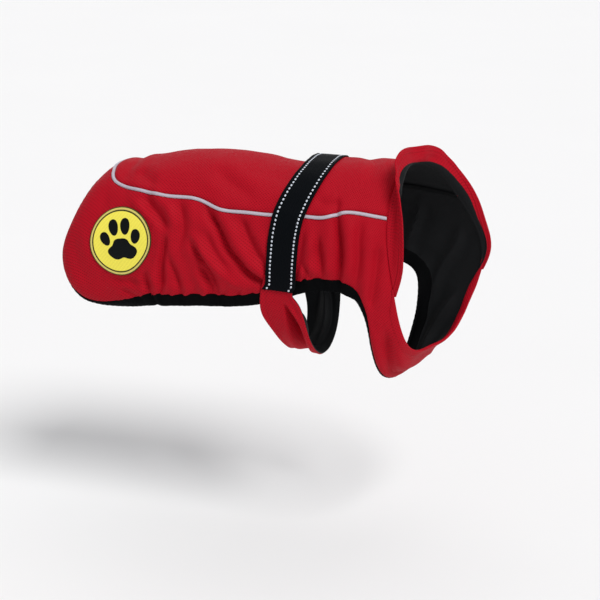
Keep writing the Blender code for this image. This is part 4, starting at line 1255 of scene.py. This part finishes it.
B0 = FACE + 0.15
lv = [0.2, 0.4, 0.6, 0.75, 0.83, 0.866, 0.872, 0.882, 0.902, 0.914,
      0.920, 0.930, 0.944, 0.958, 0.970, 0.980, 0.990, 0.996, 1.0]
hs = [0.95, 0.95, 0.95, 0.95, 0.95, 0.94, 0.96, 1.05, 1.08, 1.02,
      1.00, 1.12, 1.16, 1.12, 1.00, 1.02, 1.00, 0.92, 0.7]
# from the middle out: yellow field, thin dark thread ring, pale edge ring, then the outermost ring and the side in the
# dark thread, painted shade along the patch's edge
lm = [0] * 7 + [2] * 3 + [1] * 5 + [2] * 5
patch = disc("round_patch", oval, [B0 + h for h in hs], lv, [yellow, rim_y, ring_and_edge_shade], lm, B0 - 0.1)


def toe(cx, cy, rx, ry, turn):
    def f(th):
        x, y = rx * np.cos(th), ry * np.sin(th) * (1 - 0.14 * np.sin(th))
        c, s = math.cos(turn), math.sin(turn)
        return cx + x * c - y * s, cy + x * s + y * c
    return f


def pad(th):
    """main pad of a plain paw print: three soft lobes below and a domed top"""
    r = 10.6 + 1.5 * np.cos(3 * (th - math.pi / 2)) + 1.0 * np.cos(2 * th) - 0.55 * np.cos(6 * (th + math.pi / 2))
    return 1.22 * r * np.cos(th), -7.2 + r * np.sin(th) * 0.98


PAW = [pad, toe(-16.2, 4.6, 4.7, 6.6, 0.42), toe(-6.3, 14.2, 5.0, 7.2, 0.12),
       toe(6.3, 14.2, 5.0, 7.2, -0.12), toe(16.2, 4.6, 4.7, 6.6, -0.42)]
shapes = []
for k, f in enumerate(PAW):
    top = B0 + 0.95
    shapes.append(disc(f"paw_shape_{k}", f, [top + 0.42, top + 0.42, top + 0.40, top + 0.34, top + 0.2, top + 0.02],
                       [0.3, 0.6, 0.8, 0.92, 0.98, 1.0], [ink], [0], top - 0.2, 64))
bpy.ops.object.select_all(action="DESELECT")
for ob in shapes:
    ob.select_set(True)
bpy.context.view_layer.objects.active = shapes[0]
bpy.ops.object.join()
motif = shapes[0]
motif.name = "patch_paw_print"

# ------------------------------------------------------------------ riding on the root, in place of the CAD parts
JOBS = [
    (saddle, ("back_panel",), "shell_red"),
    (side_right, ("side_right",), "shell_red"),
    (side_left, ("side_left",), "shell_red"),
    (piping, ("piping",), "piping_grey"),
    (hem_right, ("hem_band_right",), "elastic_black"),
    (hem_left, ("hem_band_left",), "elastic_black"),
    (neck_band, ("neck_band",), "shell_red"),
    (belt, ("belt",), "webbing_black"),
    (belt_rows, (), "webbing_black"),
    (belly, ("belly_band",), "shell_red"),
    (collar, ("collar",), "shell_red"),
    (collar_rows, (), "shell_red"),
    (patch, ("badge",), "patch_twill"),
    (motif, (), "patch_twill"),
]
for ob, nodes, name in JOBS:
    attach(ob, "root")
    if nodes:
        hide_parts(*nodes)

# ------------------------------------------------------------------ floor, light, camera
floor_me = bpy.data.meshes.new("floor")
floor_me.from_pydata([(-9, -9, -0.365), (9, -9, -0.365), (9, 9, -0.365), (-9, 9, -0.365)], [], [(0, 1, 2, 3)])
floor = bpy.data.objects.new("floor", floor_me)
bpy.context.scene.collection.objects.link(floor)
fm, fnt, fb = start("pale_floor", (0.865, 0.865, 0.87), 0.8, Specular_IOR_Level=0.1)
tint(fnt, fb, (0.865, 0.865, 0.87), maths(fnt, "MULTIPLY_ADD", swell(fnt, 3.0), 0.02, 0.99))
floor_me.materials.append(fm)

world = bpy.context.scene.world or bpy.data.worlds.new("soft_room")
bpy.context.scene.world = world
world.use_nodes = True
bg = world.node_tree.nodes.get("Background") or world.node_tree.nodes.new("ShaderNodeBackground")
bg.inputs["Color"].default_value = (0.98, 0.985, 1.0, 1)
bg.inputs["Strength"].default_value = 0.44


def soft_sun(name, toward, strength, spread, colour=(1, 1, 1)):
    """broad even light from the direction `toward`"""
    light = bpy.data.lights.new(name, "SUN")
    light.energy = strength
    light.angle = math.radians(spread)
    light.color = colour
    ob = bpy.data.objects.new(name, light)
    ob.location = Vector(toward) * 2
    ob.rotation_mode = "QUATERNION"
    ob.rotation_quaternion = Vector(toward).to_track_quat("Z", "Y")
    bpy.context.scene.collection.objects.link(ob)
    return ob


soft_sun("key_light", (0.52, -0.42, 0.80), 2.08, 24, (1.0, 0.99, 0.98))
soft_sun("top_light", (-0.10, 0.25, 0.97), 0.40, 50)
soft_sun("rear_light", (-0.4, 0.9, 0.4), 0.30, 60)

cam_data = bpy.data.cameras.new("photo_camera")
cam_data.lens = 112.2
cam_data.sensor_width = 36.0
cam_data.clip_start, cam_data.clip_end = 0.01, 50.0
cam = bpy.data.objects.new("photo_camera", cam_data)
right = Vector((0.951057, 0.309017, 0.0))
up = Vector((-0.095492, 0.293893, 0.951057))
back = Vector((0.293893, -0.904509, 0.309017))
rot = Matrix((right, up, back)).transposed().to_4x4()
cam.matrix_world = Matrix.Translation((0.49275, -1.58124, 0.40429)) @ rot
bpy.context.scene.collection.objects.link(cam)
bpy.context.scene.camera = cam
bpy.context.scene.view_settings.view_transform = "Standard"
bpy.context.scene.view_settings.look = "None"
